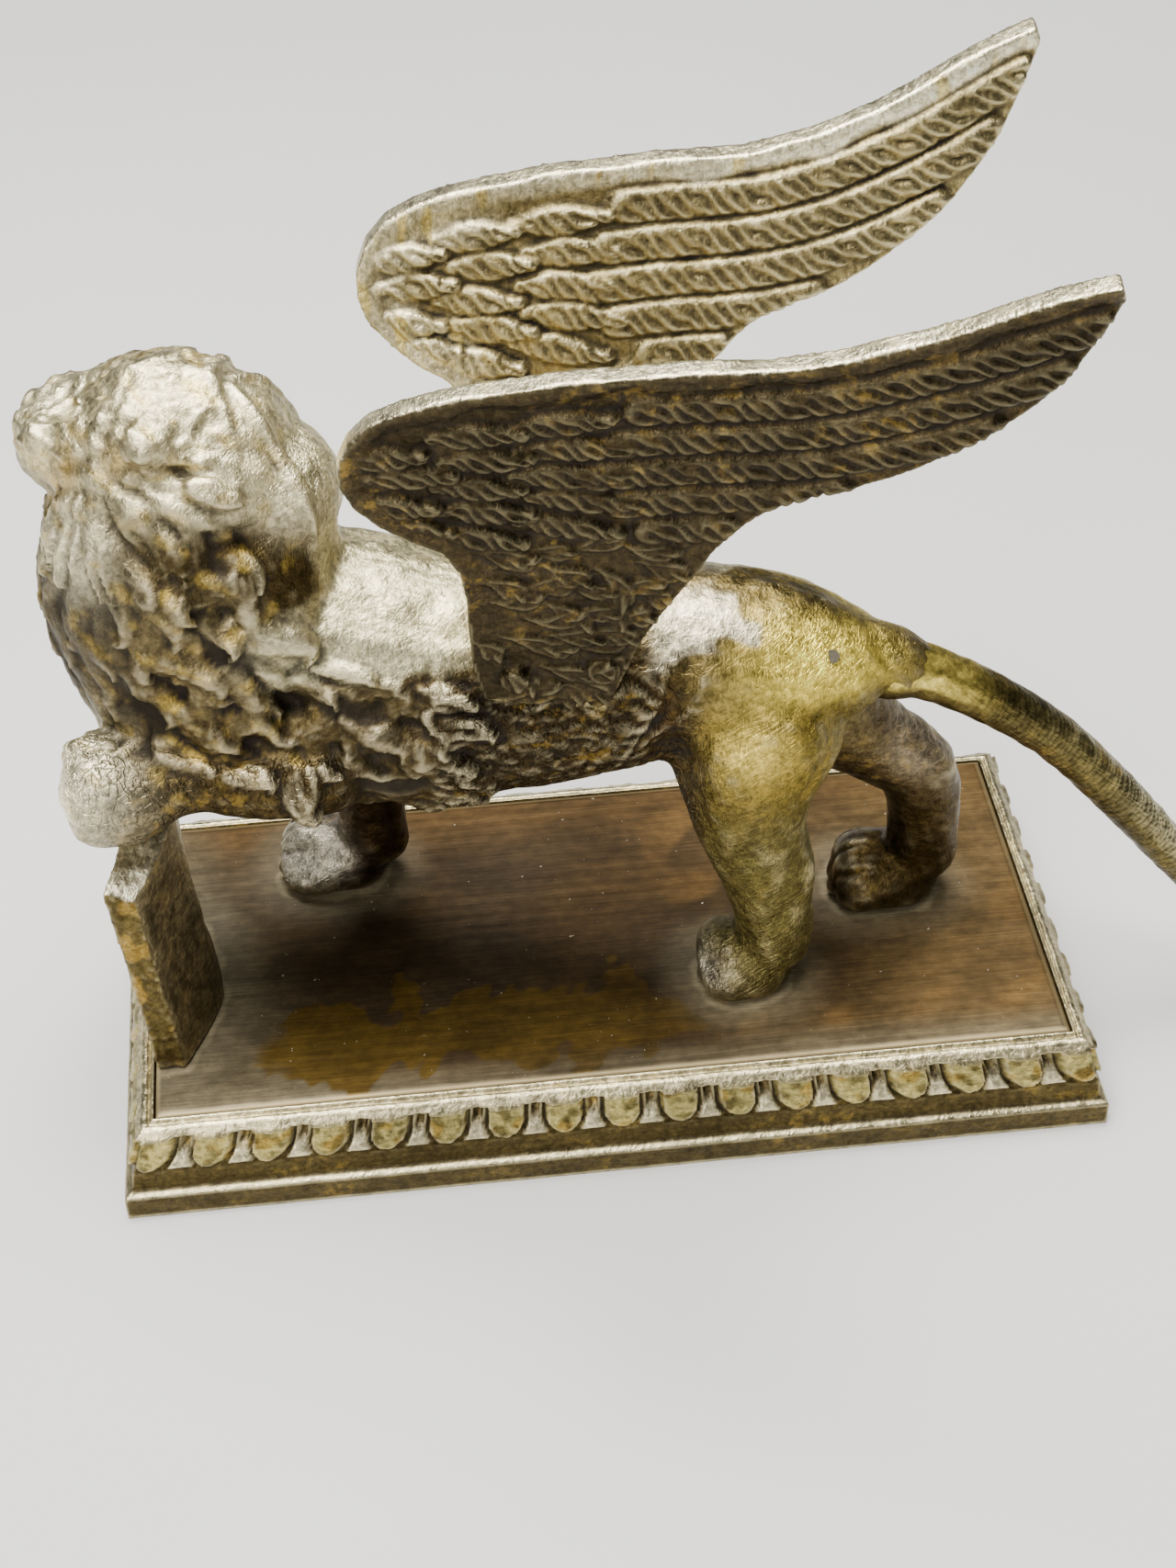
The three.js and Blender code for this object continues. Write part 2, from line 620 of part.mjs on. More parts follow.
function buildLion() {
  const group = new THREE.Group();
  group.rotation.z = LION_YAW;
  group.position.y = LION_SHIFT;

  const grown = lionForm(GAP);
  let body = lionForm();
  for (const place of Object.values(PAWS)) {
    const top = DECK_HEIGHT + PAW_SCREW.bite + GAP;
    body = body.subtract(upright(place, 0, top, PAW_SCREW.radius + GAP));
  }
  body = body.subtract(rod(TAIL_SPIGOT.from, TAIL_SPIGOT.to, TAIL_SPIGOT.radius + GAP));
  body = body.subtract(rod(TAIL_PIN.from, TAIL_PIN.to, PIN_RADIUS + GAP));

  const sides = { left: LEFT, right: RIGHT };
  for (const [name, side] of Object.entries(sides)) {
    let sheet = wing(side).subtract(grown);
    for (const [place, pin] of Object.entries(WING_PINS)) {
      sheet = sheet.subtract(wingPin(side, pin, PIN_RADIUS + GAP, WING_THICKNESS));
      body = body.subtract(wingPin(side, pin, PIN_RADIUS + GAP));
      group.add(part(`wing_pin_${name}_${place}`, wingPin(side, pin, PIN_RADIUS), "pin"));
    }
    group.add(part(`wing_${name}`, sheet, "wing_bronze"));
  }

  const spigot = rod(
    TAIL_SPIGOT.from,
    new THREE.Vector3().lerpVectors(TAIL_SPIGOT.to, TAIL_SPIGOT.from, 0.05),
    TAIL_SPIGOT.radius,
  );
  const tail = tailForm().subtract(grown).add(spigot);
  group.add(part("tail", tail.subtract(rod(TAIL_PIN.from, TAIL_PIN.to, PIN_RADIUS + GAP)), "bronze"));
  group.add(part("tail_pin", rod(TAIL_PIN.from, TAIL_PIN.to, PIN_RADIUS), "pin"));

  const bookBore = upright(BOOK_SPINE, 0, DECK_HEIGHT + BOOK_SCREW.bite + GAP, BOOK_SCREW.radius + GAP);
  group.add(part("book", book().subtract(grown).subtract(bookBore), "book"));
  group.add(part("lion_body", body, "bronze"));
  return group;
}

const lion = new THREE.Group();
lion.name = "winged_lion";
lion.add(buildPlinth(), buildLion());

// The origin goes under the middle of the footprint.
const footprint = new THREE.Box3().setFromObject(lion, true);
const centre = footprint.getCenter(new THREE.Vector3());
lion.position.set(-centre.x, -centre.y, -footprint.min.z);

export default lion;
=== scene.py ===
import itertools
import math

import bpy
import numpy as np
from mathutils import Matrix, Vector
from mathutils.bvhtree import BVHTree
from mathutils.kdtree import KDTree


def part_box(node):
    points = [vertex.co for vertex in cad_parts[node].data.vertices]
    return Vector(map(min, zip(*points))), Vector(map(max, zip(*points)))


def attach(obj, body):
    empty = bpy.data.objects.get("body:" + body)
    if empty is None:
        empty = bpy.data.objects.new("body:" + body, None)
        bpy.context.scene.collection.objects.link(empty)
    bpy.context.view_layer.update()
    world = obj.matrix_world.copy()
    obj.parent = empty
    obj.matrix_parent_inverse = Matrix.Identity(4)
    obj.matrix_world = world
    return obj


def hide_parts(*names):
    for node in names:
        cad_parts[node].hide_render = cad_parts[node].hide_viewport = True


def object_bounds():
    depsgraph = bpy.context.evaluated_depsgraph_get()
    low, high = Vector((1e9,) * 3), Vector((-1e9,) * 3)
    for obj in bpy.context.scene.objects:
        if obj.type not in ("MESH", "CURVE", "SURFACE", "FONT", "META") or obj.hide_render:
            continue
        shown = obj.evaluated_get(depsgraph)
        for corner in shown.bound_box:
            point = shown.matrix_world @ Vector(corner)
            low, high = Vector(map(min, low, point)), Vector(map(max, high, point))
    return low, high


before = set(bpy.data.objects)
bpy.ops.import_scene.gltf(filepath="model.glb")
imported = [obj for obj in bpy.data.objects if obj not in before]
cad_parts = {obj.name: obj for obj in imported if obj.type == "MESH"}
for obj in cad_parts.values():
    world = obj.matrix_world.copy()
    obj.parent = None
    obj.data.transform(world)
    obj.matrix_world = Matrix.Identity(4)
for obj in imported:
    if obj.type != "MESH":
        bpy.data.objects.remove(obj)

# A cast bronze winged lion on an egg-and-dart plinth. The castings of the CAD model are made again
# with their cast and chased surface: locks, feathers, ornaments, file marks and wear. Shapes are
# worked in millimetres, the lion's in its own frame, whose middle plane is y = 0.

LOW_AT_LOAD, HIGH_AT_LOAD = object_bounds()

MM = 0.001
SEED = 11

# Plinth, as in the CAD model
PLINTH_LENGTH = 150
PLINTH_WIDTH = 73.8
DECK_HEIGHT = 15.7
FOOT_HEIGHT = 4.4
BAND_BOTTOM = 8.8
BAND_TOP = 14.0
BAND_INSET = 1.9
BAND_LEAN = 1.6
DARTS_ALONG = 16
DARTS_ACROSS = 8
DECK_INSET = 5.9
DECK_THICKNESS = 2.4
LEDGE = 3.4
WALL = 3.2
LUG = 8
LUG_HEIGHT = 3.5
DECK_SCREW_INSET = 2.2
GAP = 0.3

# Lion frame
LION_YAW = math.radians(-5.5)
LION_SHIFT = -1.0
LEFT, RIGHT = -1, 1

# Fineness of the castings
LION_VOXEL = 0.62
FINE_VOXEL = 0.36


# Frames

def plinth_centre():
    low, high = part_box("plinth_frame")
    return np.array([(low.x + high.x) / 2, (low.y + high.y) / 2, 0.0]) / MM


PLINTH_CENTRE = plinth_centre()


def turned(points, angle):
    c, s = math.cos(angle), math.sin(angle)
    x, y, z = points.T
    return np.column_stack([c * x - s * y, s * x + c * y, z])


def lion_from_row(points):
    return turned(points / MM - PLINTH_CENTRE - [0, LION_SHIFT, 0], -LION_YAW)


def row_from_lion(points):
    return (turned(points, LION_YAW) + PLINTH_CENTRE + [0, LION_SHIFT, 0]) * MM


def plinth_from_row(points):
    return points / MM - PLINTH_CENTRE


def row_from_plinth(points):
    return (points + PLINTH_CENTRE) * MM


# Numbers

def smoothstep(low, high, value):
    t = np.clip((value - low) / (high - low), 0, 1)
    return t * t * (3 - 2 * t)


BUMP_FALL = 1.6


def near(points, centre, radii):
    """1 at a point, falling to 0 over the radii of an ellipsoid round it."""
    away = (points - np.array(centre, float)) / np.array(radii, float)
    return np.exp(-BUMP_FALL * (away ** 2).sum(axis=1))


def linear(code):
    """The linear colour of an sRGB hex code."""
    parts = [int(code[i:i + 2], 16) / 255 for i in (1, 3, 5)]
    return np.array([p / 12.92 if p <= 0.04045 else ((p + 0.055) / 1.055) ** 2.4 for p in parts])


def waves(points, scale, seed, count=7):
    """A smooth random field: a sum of sine waves in random directions, about -1 to 1."""
    own = np.random.default_rng(seed)
    total = np.zeros(len(points))
    for _ in range(count):
        way = own.normal(size=3)
        way *= own.uniform(0.6, 1.5) / np.linalg.norm(way)
        total += np.sin(points @ way * (2 * math.pi / scale) + own.uniform(0, 2 * math.pi))
    return total / math.sqrt(count)


# Surfaces

class Surface:
    """A dense mesh of quads in millimetres, with attributes for its material."""

    def __init__(self, points, faces):
        self.points = points
        self.faces = faces
        sides = np.concatenate([faces[:, [k, (k + 1) % 4]] for k in range(4)])
        self.edges = np.unique(np.sort(sides, axis=1), axis=0)
        self.degree = np.maximum(np.bincount(self.edges.ravel(), minlength=len(points)), 1)
        self.relief = np.zeros(len(points))
        self.find_normals()

    def find_normals(self):
        p = self.points[self.faces]
        cross = np.cross(p[:, 2] - p[:, 0], p[:, 3] - p[:, 1])
        normals = np.zeros_like(self.points)
        for corner in range(4):
            for axis in range(3):
                normals[:, axis] += np.bincount(
                    self.faces[:, corner], cross[:, axis], minlength=len(self.points)
                )
        self.normals = normals / np.maximum(np.linalg.norm(normals, axis=1), 1e-9)[:, None]

    def average(self, values):
        """The mean of each vertex's neighbours."""
        a, b = self.edges.T
        flat = values.reshape(len(self.points), -1)
        out = np.empty_like(flat)
        for k in range(flat.shape[1]):
            out[:, k] = np.bincount(a, flat[b, k], minlength=len(flat))
            out[:, k] += np.bincount(b, flat[a, k], minlength=len(flat))
        return (out / self.degree[:, None]).reshape(values.shape)

    def smoothed(self, values, times, amount=0.6):
        for _ in range(times):
            values = values + amount * (self.average(values) - values)
        return values

    def relax(self, times, keep=None):
        """Smooths the shape, less where keep is high."""
        for _ in range(times):
            step = 0.5 * (self.average(self.points) - self.points)
            if keep is not None:
                step *= (1 - keep)[:, None]
            self.points = self.points + step
        self.find_normals()

    def push(self, amount):
        self.points = self.points + self.normals * amount[:, None]
        self.find_normals()

    def swell(self, centre, radii, amount):
        """A soft bump, or a hollow when the amount is negative."""
        self.push(amount * near(self.points, centre, radii))

    def file_flat(self, point, way, reach):
        """Files a flat facet: what stands beyond the plane comes down to it, near the point."""
        way = np.array(way, float) / np.linalg.norm(way)
        away = self.points - np.array(point, float)
        beyond = np.clip(away @ way, 0, None)
        share = near(self.points, point, [reach] * 3) ** 0.5
        self.points = self.points - way * (beyond * share)[:, None]
        self.find_normals()

    def tree(self):
        return BVHTree.FromPolygons(self.points.tolist(), self.faces.tolist())

    def curvature(self, times):
        """How far each vertex stands out of its smoothed surroundings, in millimetres."""
        broad = self.smoothed(self.points, times, 0.5)
        return ((self.points - broad) * self.normals).sum(axis=1)


def read_mesh(mesh):
    points = np.empty(3 * len(mesh.vertices))
    mesh.vertices.foreach_get("co", points)
    loops = np.empty(len(mesh.loops), int)
    mesh.loops.foreach_get("vertex_index", loops)
    return points.reshape(-1, 3), loops


def cast(node, extras, voxel):
    """A CAD node and extra closed shapes melted into one fine even mesh, in the lion's frame."""
    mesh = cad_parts[node].data
    own, _ = read_mesh(mesh)
    mesh.calc_loop_triangles()
    index = np.empty(3 * len(mesh.loop_triangles), int)
    mesh.loop_triangles.foreach_get("vertices", index)
    points, triangles = [own], [index.reshape(-1, 3)]
    for own, index in extras:
        triangles.append(index + sum(len(part) for part in points))
        points.append(row_from_lion(own))
    raw = bpy.data.meshes.new("raw")
    raw.from_pydata(np.concatenate(points).tolist(), [], np.concatenate(triangles).tolist())
    holder = bpy.data.objects.new("raw", raw)
    bpy.context.collection.objects.link(holder)
    remesh = holder.modifiers.new("melt", "REMESH")
    remesh.mode = "VOXEL"
    remesh.voxel_size = voxel * MM
    remesh.adaptivity = 0
    bpy.context.view_layer.update()
    melted = holder.evaluated_get(bpy.context.evaluated_depsgraph_get()).to_mesh()
    fine, loops = read_mesh(melted)
    bpy.data.objects.remove(holder)
    bpy.data.meshes.remove(raw)
    return Surface(lion_from_row(fine), loops.reshape(-1, 4))


def ellipsoid(centre, radii, yaw=0.0, pitch=0.0, sides=20, rings=12):
    """A closed ellipsoid as points and triangles."""
    points = [[0, 0, 1]]
    for i in range(1, rings):
        a = math.pi * i / rings
        for j in range(sides):
            b = 2 * math.pi * j / sides
            points.append([math.sin(a) * math.cos(b), math.sin(a) * math.sin(b), math.cos(a)])
    points.append([0, 0, -1])
    triangles = []
    for j in range(sides):
        after = (j + 1) % sides
        triangles.append([0, 1 + j, 1 + after])
        last = 1 + (rings - 2) * sides
        triangles.append([last + j, len(points) - 1, last + after])
        for i in range(rings - 2):
            a, b = 1 + i * sides + j, 1 + i * sides + after
            triangles += [[a, a + sides, b + sides], [a, b + sides, b]]
    turn = Matrix.Rotation(yaw, 3, "Z") @ Matrix.Rotation(pitch, 3, "Y")
    shaped = (np.array(points) * np.array(radii, float)) @ np.array(turn).T
    return shaped + np.array(centre, float), np.array(triangles)


# Strokes: locks, feathers and cuts laid along paths on a surface

def march(tree, start, heading, length, curl, step=0.8):
    """A path on the surface. Its heading turns by curl(share) radians over each millimetre."""
    point, normal, _, _ = tree.find_nearest(Vector(start))
    heading = Vector(heading)
    path, normals = [np.array(point)], [np.array(normal)]
    count = max(3, int(length / step))
    for i in range(count):
        heading = (heading - normal * heading.dot(normal)).normalized()
        heading.rotate(Matrix.Rotation(curl((i + 0.5) / count) * step, 3, normal))
        point, normal, _, _ = tree.find_nearest(point + heading * step)
        path.append(np.array(point))
        normals.append(np.array(normal))
    return np.array(path), np.array(normals)


# Profiles of strokes: the height at a share of the length and at a place across, from -1 to 1

def lock(strands, lift):
    """A tapering lock: round across, thin at its root, lifted at its tip, combed along."""
    def profile(share, across):
        combed = 1 - 0.22 * (0.5 + 0.5 * np.cos(math.pi * strands * across))
        return round_strand(share, across) * combed * (1 - lift + lift * share)
    return profile


def round_strand(share, across):
    return np.sqrt(np.clip(1 - across ** 2, 0, 1))


def fading(loss):
    """A rib or groove that loses a share of its height by its end."""
    return lambda share, across: (1 - across ** 2) * (1 - loss * share)


def lay(surface, path, normals, half_width, height, profile, taper=0.35, flat=0.1):
    """Raises the surface's relief along a path. The profile gives the height across and along."""
    centre = path.mean(axis=0)
    reach = np.linalg.norm(path - centre, axis=1).max() + half_width * 1.3
    away = surface.points - centre
    chosen = np.nonzero((away ** 2).sum(axis=1) < reach ** 2)[0]
    if len(chosen) == 0:
        return
    at = surface.points[chosen]
    starts, ways = path[:-1], np.diff(path, axis=0)
    lengths = np.maximum(np.linalg.norm(ways, axis=1), 1e-6)
    along = ((at[:, None] - starts) * ways).sum(axis=2) / lengths ** 2
    along = np.clip(along, 0, 1)
    foot = starts + along[..., None] * ways
    gap = np.linalg.norm(at[:, None] - foot, axis=2)
    best = gap.argmin(axis=1)
    rows = np.arange(len(at))
    walked = np.concatenate([[0], np.cumsum(lengths)])
    share = (walked[best] + along[rows, best] * lengths[best]) / walked[-1]
    side = np.cross(normals[:-1], ways)
    side /= np.maximum(np.linalg.norm(side, axis=1), 1e-9)[:, None]
    offset = ((at - foot[rows, best]) * side[best]).sum(axis=1)
    signed = np.where(offset < 0, -1, 1) * gap[rows, best]
    width = half_width * np.clip(np.sin(math.pi * np.clip(share, 0.02, 1) ** taper), 0, 1) ** 0.7
    width = np.maximum(width, flat * half_width)
    across = signed / width
    facing = (surface.normals[chosen] * normals[best]).sum(axis=1) > 0.15
    inside = facing & (np.abs(across) < 1)
    chosen, share, across = chosen[inside], share[inside], across[inside]
    raised = height * profile(share, across)
    if height > 0:
        surface.relief[chosen] = np.maximum(surface.relief[chosen], raised)
    else:
        surface.relief[chosen] = np.minimum(surface.relief[chosen], raised)


class Comb:
    """Lays strokes on a surface as it is when the comb is made."""

    def __init__(self, surface):
        self.surface = surface
        self.tree = surface.tree()

    def stroke(self, start, heading, length, curl, half_width, height, profile, taper):
        """One stroke. Its curl is in radians a millimetre: a number or a function of the share."""
        turn = curl if callable(curl) else lambda share: curl
        path, normals = march(self.tree, start, heading, length, turn)
        lay(self.surface, path, normals, half_width, height, profile, taper)


def scattered(surface, weight, spacing, seed):
    """Vertices picked at random where the weight is high, none nearer than the spacing."""
    own = np.random.default_rng(seed)
    order = own.permutation(np.nonzero(weight > 0.5)[0])
    cell = {}
    picked = []
    for index in order:
        point = surface.points[index]
        i, j, k = (int(v) for v in point // spacing)
        around = [
            other for di, dj, dk in itertools.product((-1, 0, 1), repeat=3)
            for other in cell.get((i + di, j + dj, k + dk), ())
        ]
        if all(((surface.points[other] - point) ** 2).sum() >= spacing ** 2 for other in around):
            cell.setdefault((i, j, k), []).append(index)
            picked.append(index)
    return picked


# Pieces

def shown(name, surface, to_row, node, material, attributes):
    """A Blender object of a surface, standing for its CAD node."""
    mesh = bpy.data.meshes.new(name)
    places = np.clip(to_row(surface.points), np.array(LOW_AT_LOAD), np.array(HIGH_AT_LOAD))
    mesh.from_pydata(places.tolist(), [], surface.faces.tolist())
    mesh.polygons.foreach_set("use_smooth", [True] * len(mesh.polygons))
    for key, values in attributes.items():
        if values.ndim == 2:
            layer = mesh.attributes.new(key, "FLOAT_COLOR", "POINT")
            rgba = np.ones((len(values), 4), np.float32)
            rgba[:, :3] = values
            layer.data.foreach_set("color", rgba.ravel())
        else:
            layer = mesh.attributes.new(key, "FLOAT", "POINT")
            layer.data.foreach_set("value", values.astype(np.float32))
    mesh.materials.append(material)
    piece = bpy.data.objects.new(name, mesh)
    bpy.context.collection.objects.link(piece)
    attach(piece, "root")
    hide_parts(node)


class Paint:
    """A tint for each point, laid on region by region."""

    def __init__(self, points, ground):
        self.points = points
        self.colours = np.tile(linear(ground), (len(points), 1))

    def lay(self, weight, code):
        w = np.clip(weight, 0, 1)[:, None]
        self.colours = self.colours * (1 - w) + linear(code) * w

    def spot(self, centre, radii, strength, code):
        self.lay(near(self.points, centre, radii) * strength, code)


def wear(surface, fine=2, broad=14):
    """Worn peaks, and hollows that grime and painted shade darken, each 0 to 1, from the shape itself."""
    small = surface.smoothed(surface.curvature(fine), 1)
    large = surface.smoothed(surface.curvature(broad), 1)
    peak = smoothstep(0.01, 0.09, small) * 0.6 + smoothstep(0.08, 0.5, large) * 0.6
    hollow = smoothstep(0.01, 0.10, -small) * 0.5 + smoothstep(0.06, 0.45, -large) * 0.8
    return np.clip(peak, 0, 1), np.clip(hollow, 0, 1)


# Materials

class Nodes:
    """A short hand for building a node tree."""

    def __init__(self, name):
        self.material = bpy.data.materials.new(name)
        self.material.use_nodes = True
        self.tree = self.material.node_tree
        self.shader = self.tree.nodes["Principled BSDF"]

    def link(self, source, target):
        if isinstance(source, (int, float, tuple)):
            target.default_value = source
        else:
            self.tree.links.new(source, target)

    def make(self, kind, **settings):
        node = self.tree.nodes.new(kind)
        for key, value in settings.items():
            setattr(node, key, value)
        return node

    def attribute(self, name, colour=False):
        node = self.make("ShaderNodeAttribute", attribute_name=name)
        return node.outputs["Color" if colour else "Fac"]

    def place(self, scale, turn=None):
        """Object coordinates turned, then stretched: in cycles a metre, for all axes or each."""
        vector = self.make("ShaderNodeTexCoord").outputs["Object"]
        scale = scale if isinstance(scale, tuple) else (scale,) * 3
        for key, value in (("Rotation", turn), ("Scale", scale)):
            if value is not None:
                mapping = self.make("ShaderNodeMapping")
                self.link(vector, mapping.inputs["Vector"])
                mapping.inputs[key].default_value = value
                vector = mapping.outputs["Vector"]
        return vector

    def noise(self, vector, detail=3.0, rough=0.55, distortion=0.0):
        node = self.make("ShaderNodeTexNoise")
        self.tree.links.new(vector, node.inputs["Vector"])
        node.inputs["Scale"].default_value = 1.0
        node.inputs["Detail"].default_value = detail
        node.inputs["Roughness"].default_value = rough
        node.inputs["Distortion"].default_value = distortion
        return node.outputs["Fac"]

    def math(self, operation, a, b=0.0, clamp=False):
        node = self.make("ShaderNodeMath", operation=operation, use_clamp=clamp)
        self.link(a, node.inputs[0])
        self.link(b, node.inputs[1])
        return node.outputs[0]

    def product(self, first, *others):
        for other in others:
            first = self.math("MULTIPLY", first, other)
        return first

    def span(self, value, low, high, out_low=0.0, out_high=1.0):
        node = self.make("ShaderNodeMapRange", interpolation_type="SMOOTHSTEP")
        self.link(value, node.inputs["Value"])
        node.inputs["From Min"].default_value = low
        node.inputs["From Max"].default_value = high
        node.inputs["To Min"].default_value = out_low
        node.inputs["To Max"].default_value = out_high
        return node.outputs["Result"]

    def mix(self, share, a, b, blend="MIX"):
        node = self.make("ShaderNodeMix", data_type="RGBA", blend_type=blend)
        self.link(share, node.inputs[0])
        self.link(a, node.inputs[6])
        self.link(b, node.inputs[7])
        return node.outputs[2]

    def shaded(self, tint, shade):
        """The tint darkened and lightened by a shade."""
        grey = self.make("ShaderNodeCombineColor")
        for channel in ("Red", "Green", "Blue"):
            self.link(shade, grey.inputs[channel])
        return self.mix(1.0, tint, grey.outputs["Color"], "MULTIPLY")

    def bump(self, height, distance, strength, below=None):
        node = self.make("ShaderNodeBump")
        node.inputs["Distance"].default_value = distance
        self.link(strength, node.inputs["Strength"])
        self.link(height, node.inputs["Height"])
        if below is not None:
            self.tree.links.new(below, node.inputs["Normal"])
        return node.outputs["Normal"]


def colour(code):
    return (*linear(code), 1.0)


# The tone of the darkened hollows: partly grime, partly painted shade.
GRIME_AND_SHADE, GOLD = "#1d150b", "#b8963f"
# How deep the bumps go, in metres
GRAIN_DEPTH = 0.00007
FUR_DEPTH = 0.00022


def bronze(name, marks, worn="#d6caa6", worn_share=0.75, rough=0.36, marks_depth=0.00006,
           second_marks=None, crust=0.00028, squiggles=False):
    """Aged cast bronze. Reads the tint, peak, hollow and file attributes of its piece."""
    n = Nodes(name)
    tint = n.attribute("tint", colour=True)
    peak, hollow, filed = (n.attribute(key) for key in ("peak", "hollow", "file"))

    clouds = n.noise(n.place(55), 4.0, 0.6)
    spots = n.noise(n.place(420), 3.0, 0.65)
    grain = n.noise(n.place(2600), 3.0, 0.7)
    micro = n.noise(n.place(1050), 4.0, 0.62, 0.6)
    scratches = n.noise(n.place(*marks), 2.0, 0.6)
    if second_marks:
        scratches = n.math("MAXIMUM", scratches, n.noise(n.place(*second_marks), 2.0, 0.6))

    base = n.shaded(tint, n.product(
        n.span(clouds, 0.25, 0.75, 0.7, 1.25), n.span(spots, 0.25, 0.75, 0.72, 1.25),
        n.span(scratches, 0.3, 0.7, 0.85, 1.15), n.span(micro, 0.33, 0.67, 0.68, 1.35)))
    gold = n.product(n.span(spots, 0.52, 0.66), n.span(clouds, 0.46, 0.62), 0.3)
    base = n.mix(gold, base, colour(GOLD))

    worn_mask = n.product(peak, n.span(spots, 0.2, 0.75, 0.55, 1.15))
    worn_mask = n.math("MULTIPLY", worn_mask, worn_share, clamp=True)
    base = n.mix(worn_mask, base, colour(worn))

    # Hollows are darkened, rougher and less metallic: partly grime, partly painted shade.
    grime_and_shade_mask = n.product(hollow, n.span(clouds, 0.2, 0.8, 0.75, 1.25))
    grime_and_shade_mask = n.math("MULTIPLY", grime_and_shade_mask, 0.9, clamp=True)
    base = n.mix(grime_and_shade_mask, base, colour(GRIME_AND_SHADE))
    n.link(base, n.shader.inputs["Base Color"])

    roughness = n.math("ADD", rough - 0.08, n.span(spots, 0.2, 0.8, 0.0, 0.16))
    roughness = n.math("ADD", roughness, n.math("MULTIPLY", grime_and_shade_mask, 0.25))
    roughness = n.math("SUBTRACT", roughness, n.math("MULTIPLY", worn_mask, 0.06))
    n.link(roughness, n.shader.inputs["Roughness"])
    metallic = n.math("SUBTRACT", 1.0, n.math("MULTIPLY", grime_and_shade_mask, 0.45))
    n.link(metallic, n.shader.inputs["Metallic"])

    normal = n.bump(grain, GRAIN_DEPTH, 0.6)
    normal = n.bump(micro, crust, 0.7, normal)
    normal = n.bump(scratches, marks_depth * 2.2, filed, normal)
    if squiggles:
        cuts = []
        for scale, width in (((330, 330, 200), 0.03), ((500, 500, 330), 0.04)):
            field = n.noise(n.place(scale), 1.5, 0.5, 0.8)
            ridge = n.math("ABSOLUTE", n.math("SUBTRACT", field, 0.5))
            cuts.append(n.span(ridge, 0.0, width))
        normal = n.bump(n.math("MINIMUM", *cuts), FUR_DEPTH, n.attribute("fur"), normal)
    n.link(normal, n.shader.inputs["Normal"])
    return n.material


# Lion

HEAD_WAY = np.array([-0.933, 0.359, 0.0])
HEAD_SIDE = np.array([-0.359, -0.933, 0.0])
SKULL = np.array([-57, 0.5, 111.0])


def on_head(forward, left, up):
    return SKULL + HEAD_WAY * forward + HEAD_SIDE * left + np.array([0, 0, up])


MANE_SPACING = 4.4
FUR_SPACING, FUR_LENGTH = 2.3, 4.2
THROAT = -64

# The standing paws: heel in plan and reach of the toes; where the grooves start and their length
TOES = [((-37, 15.5), 10.2), ((26.5, -10), 7.2), ((51.5, 9), 10.4)]
TOE_CUTS = [((-50.5, 15.5, 22), 9), ((16.5, -10, 21), 6), ((38.5, 9, 21), 8)]

# Bumps and hollows: centre, radii, height. Filed facets: point, the way it faces, reach.
HEAD_SWELLS = [
    ((-68.8, 1.0, 119.0), (2.6, 7, 3.0), -3.0), ((-74.0, 2.0, 118.5), (4.0, 6.0, 3.0), -1.0),
    ((-72.5, -1.0, 113.0), (3.2, 4.0, 4.0), 0.8), ((-53.0, -12.5, 113.2), (2.6, 2.6, 1.3), -2.0),
    ((-49.8, 13.6, 111.0), (2.6, 2.6, 1.3), -2.0),
]
HEAD_FACETS = [
    ((-71, -3, 115.4), (-0.12, 0.45, 1), 8), ((-57, -3, 121.3), (0.05, -0.35, 1), 12),
    ((-49.5, -8, 116.5), (0.2, -0.8, 0.7), 6),
]
BODY_SWELLS = [
    ((11, LEFT * 13, 62), (4.5, 5, 10), -2.6), ((11, RIGHT * 13, 62), (4.5, 5, 10), -2.6),
    ((-45, -14, 103.5), (6.5, 5, 3.6), -2.2), ((-36, -13, 98), (6, 5, 4), -1.4),
    ((-39, -13, 87), (6, 4, 4), 1.0), ((29, -13.5, 68), (8, 5, 8), 1.1),
    ((19.5, -15.5, 62), (4, 3, 7), 1.3), ((33, 14, 62), (9, 5, 9), 1.3),
    ((27.5, -15, 35), (3, 3, 8), -0.7), ((31.5, -12, 40), (2.6, 4, 5), 1.1),
    ((52.5, 7, 43), (3.5, 4, 4), 1.3), ((44, 6, 45), (4, 3, 5), -0.9),
]
BODY_FACETS = [
    ((-46, 11.6, 22.4), (-0.5, -0.65, 0.6), 9), ((-80.3, -19, 64.5), (-1, -0.25, 0.3), 6),
    ((19.5, -17.2, 67), (-0.25, -1, 0.25), 6), ((17.0, -13.5, 21.5), (-0.6, -0.5, 0.6), 5),
    ((54.5, 5.5, 47), (0.7, -0.6, 0.5), 6),
]


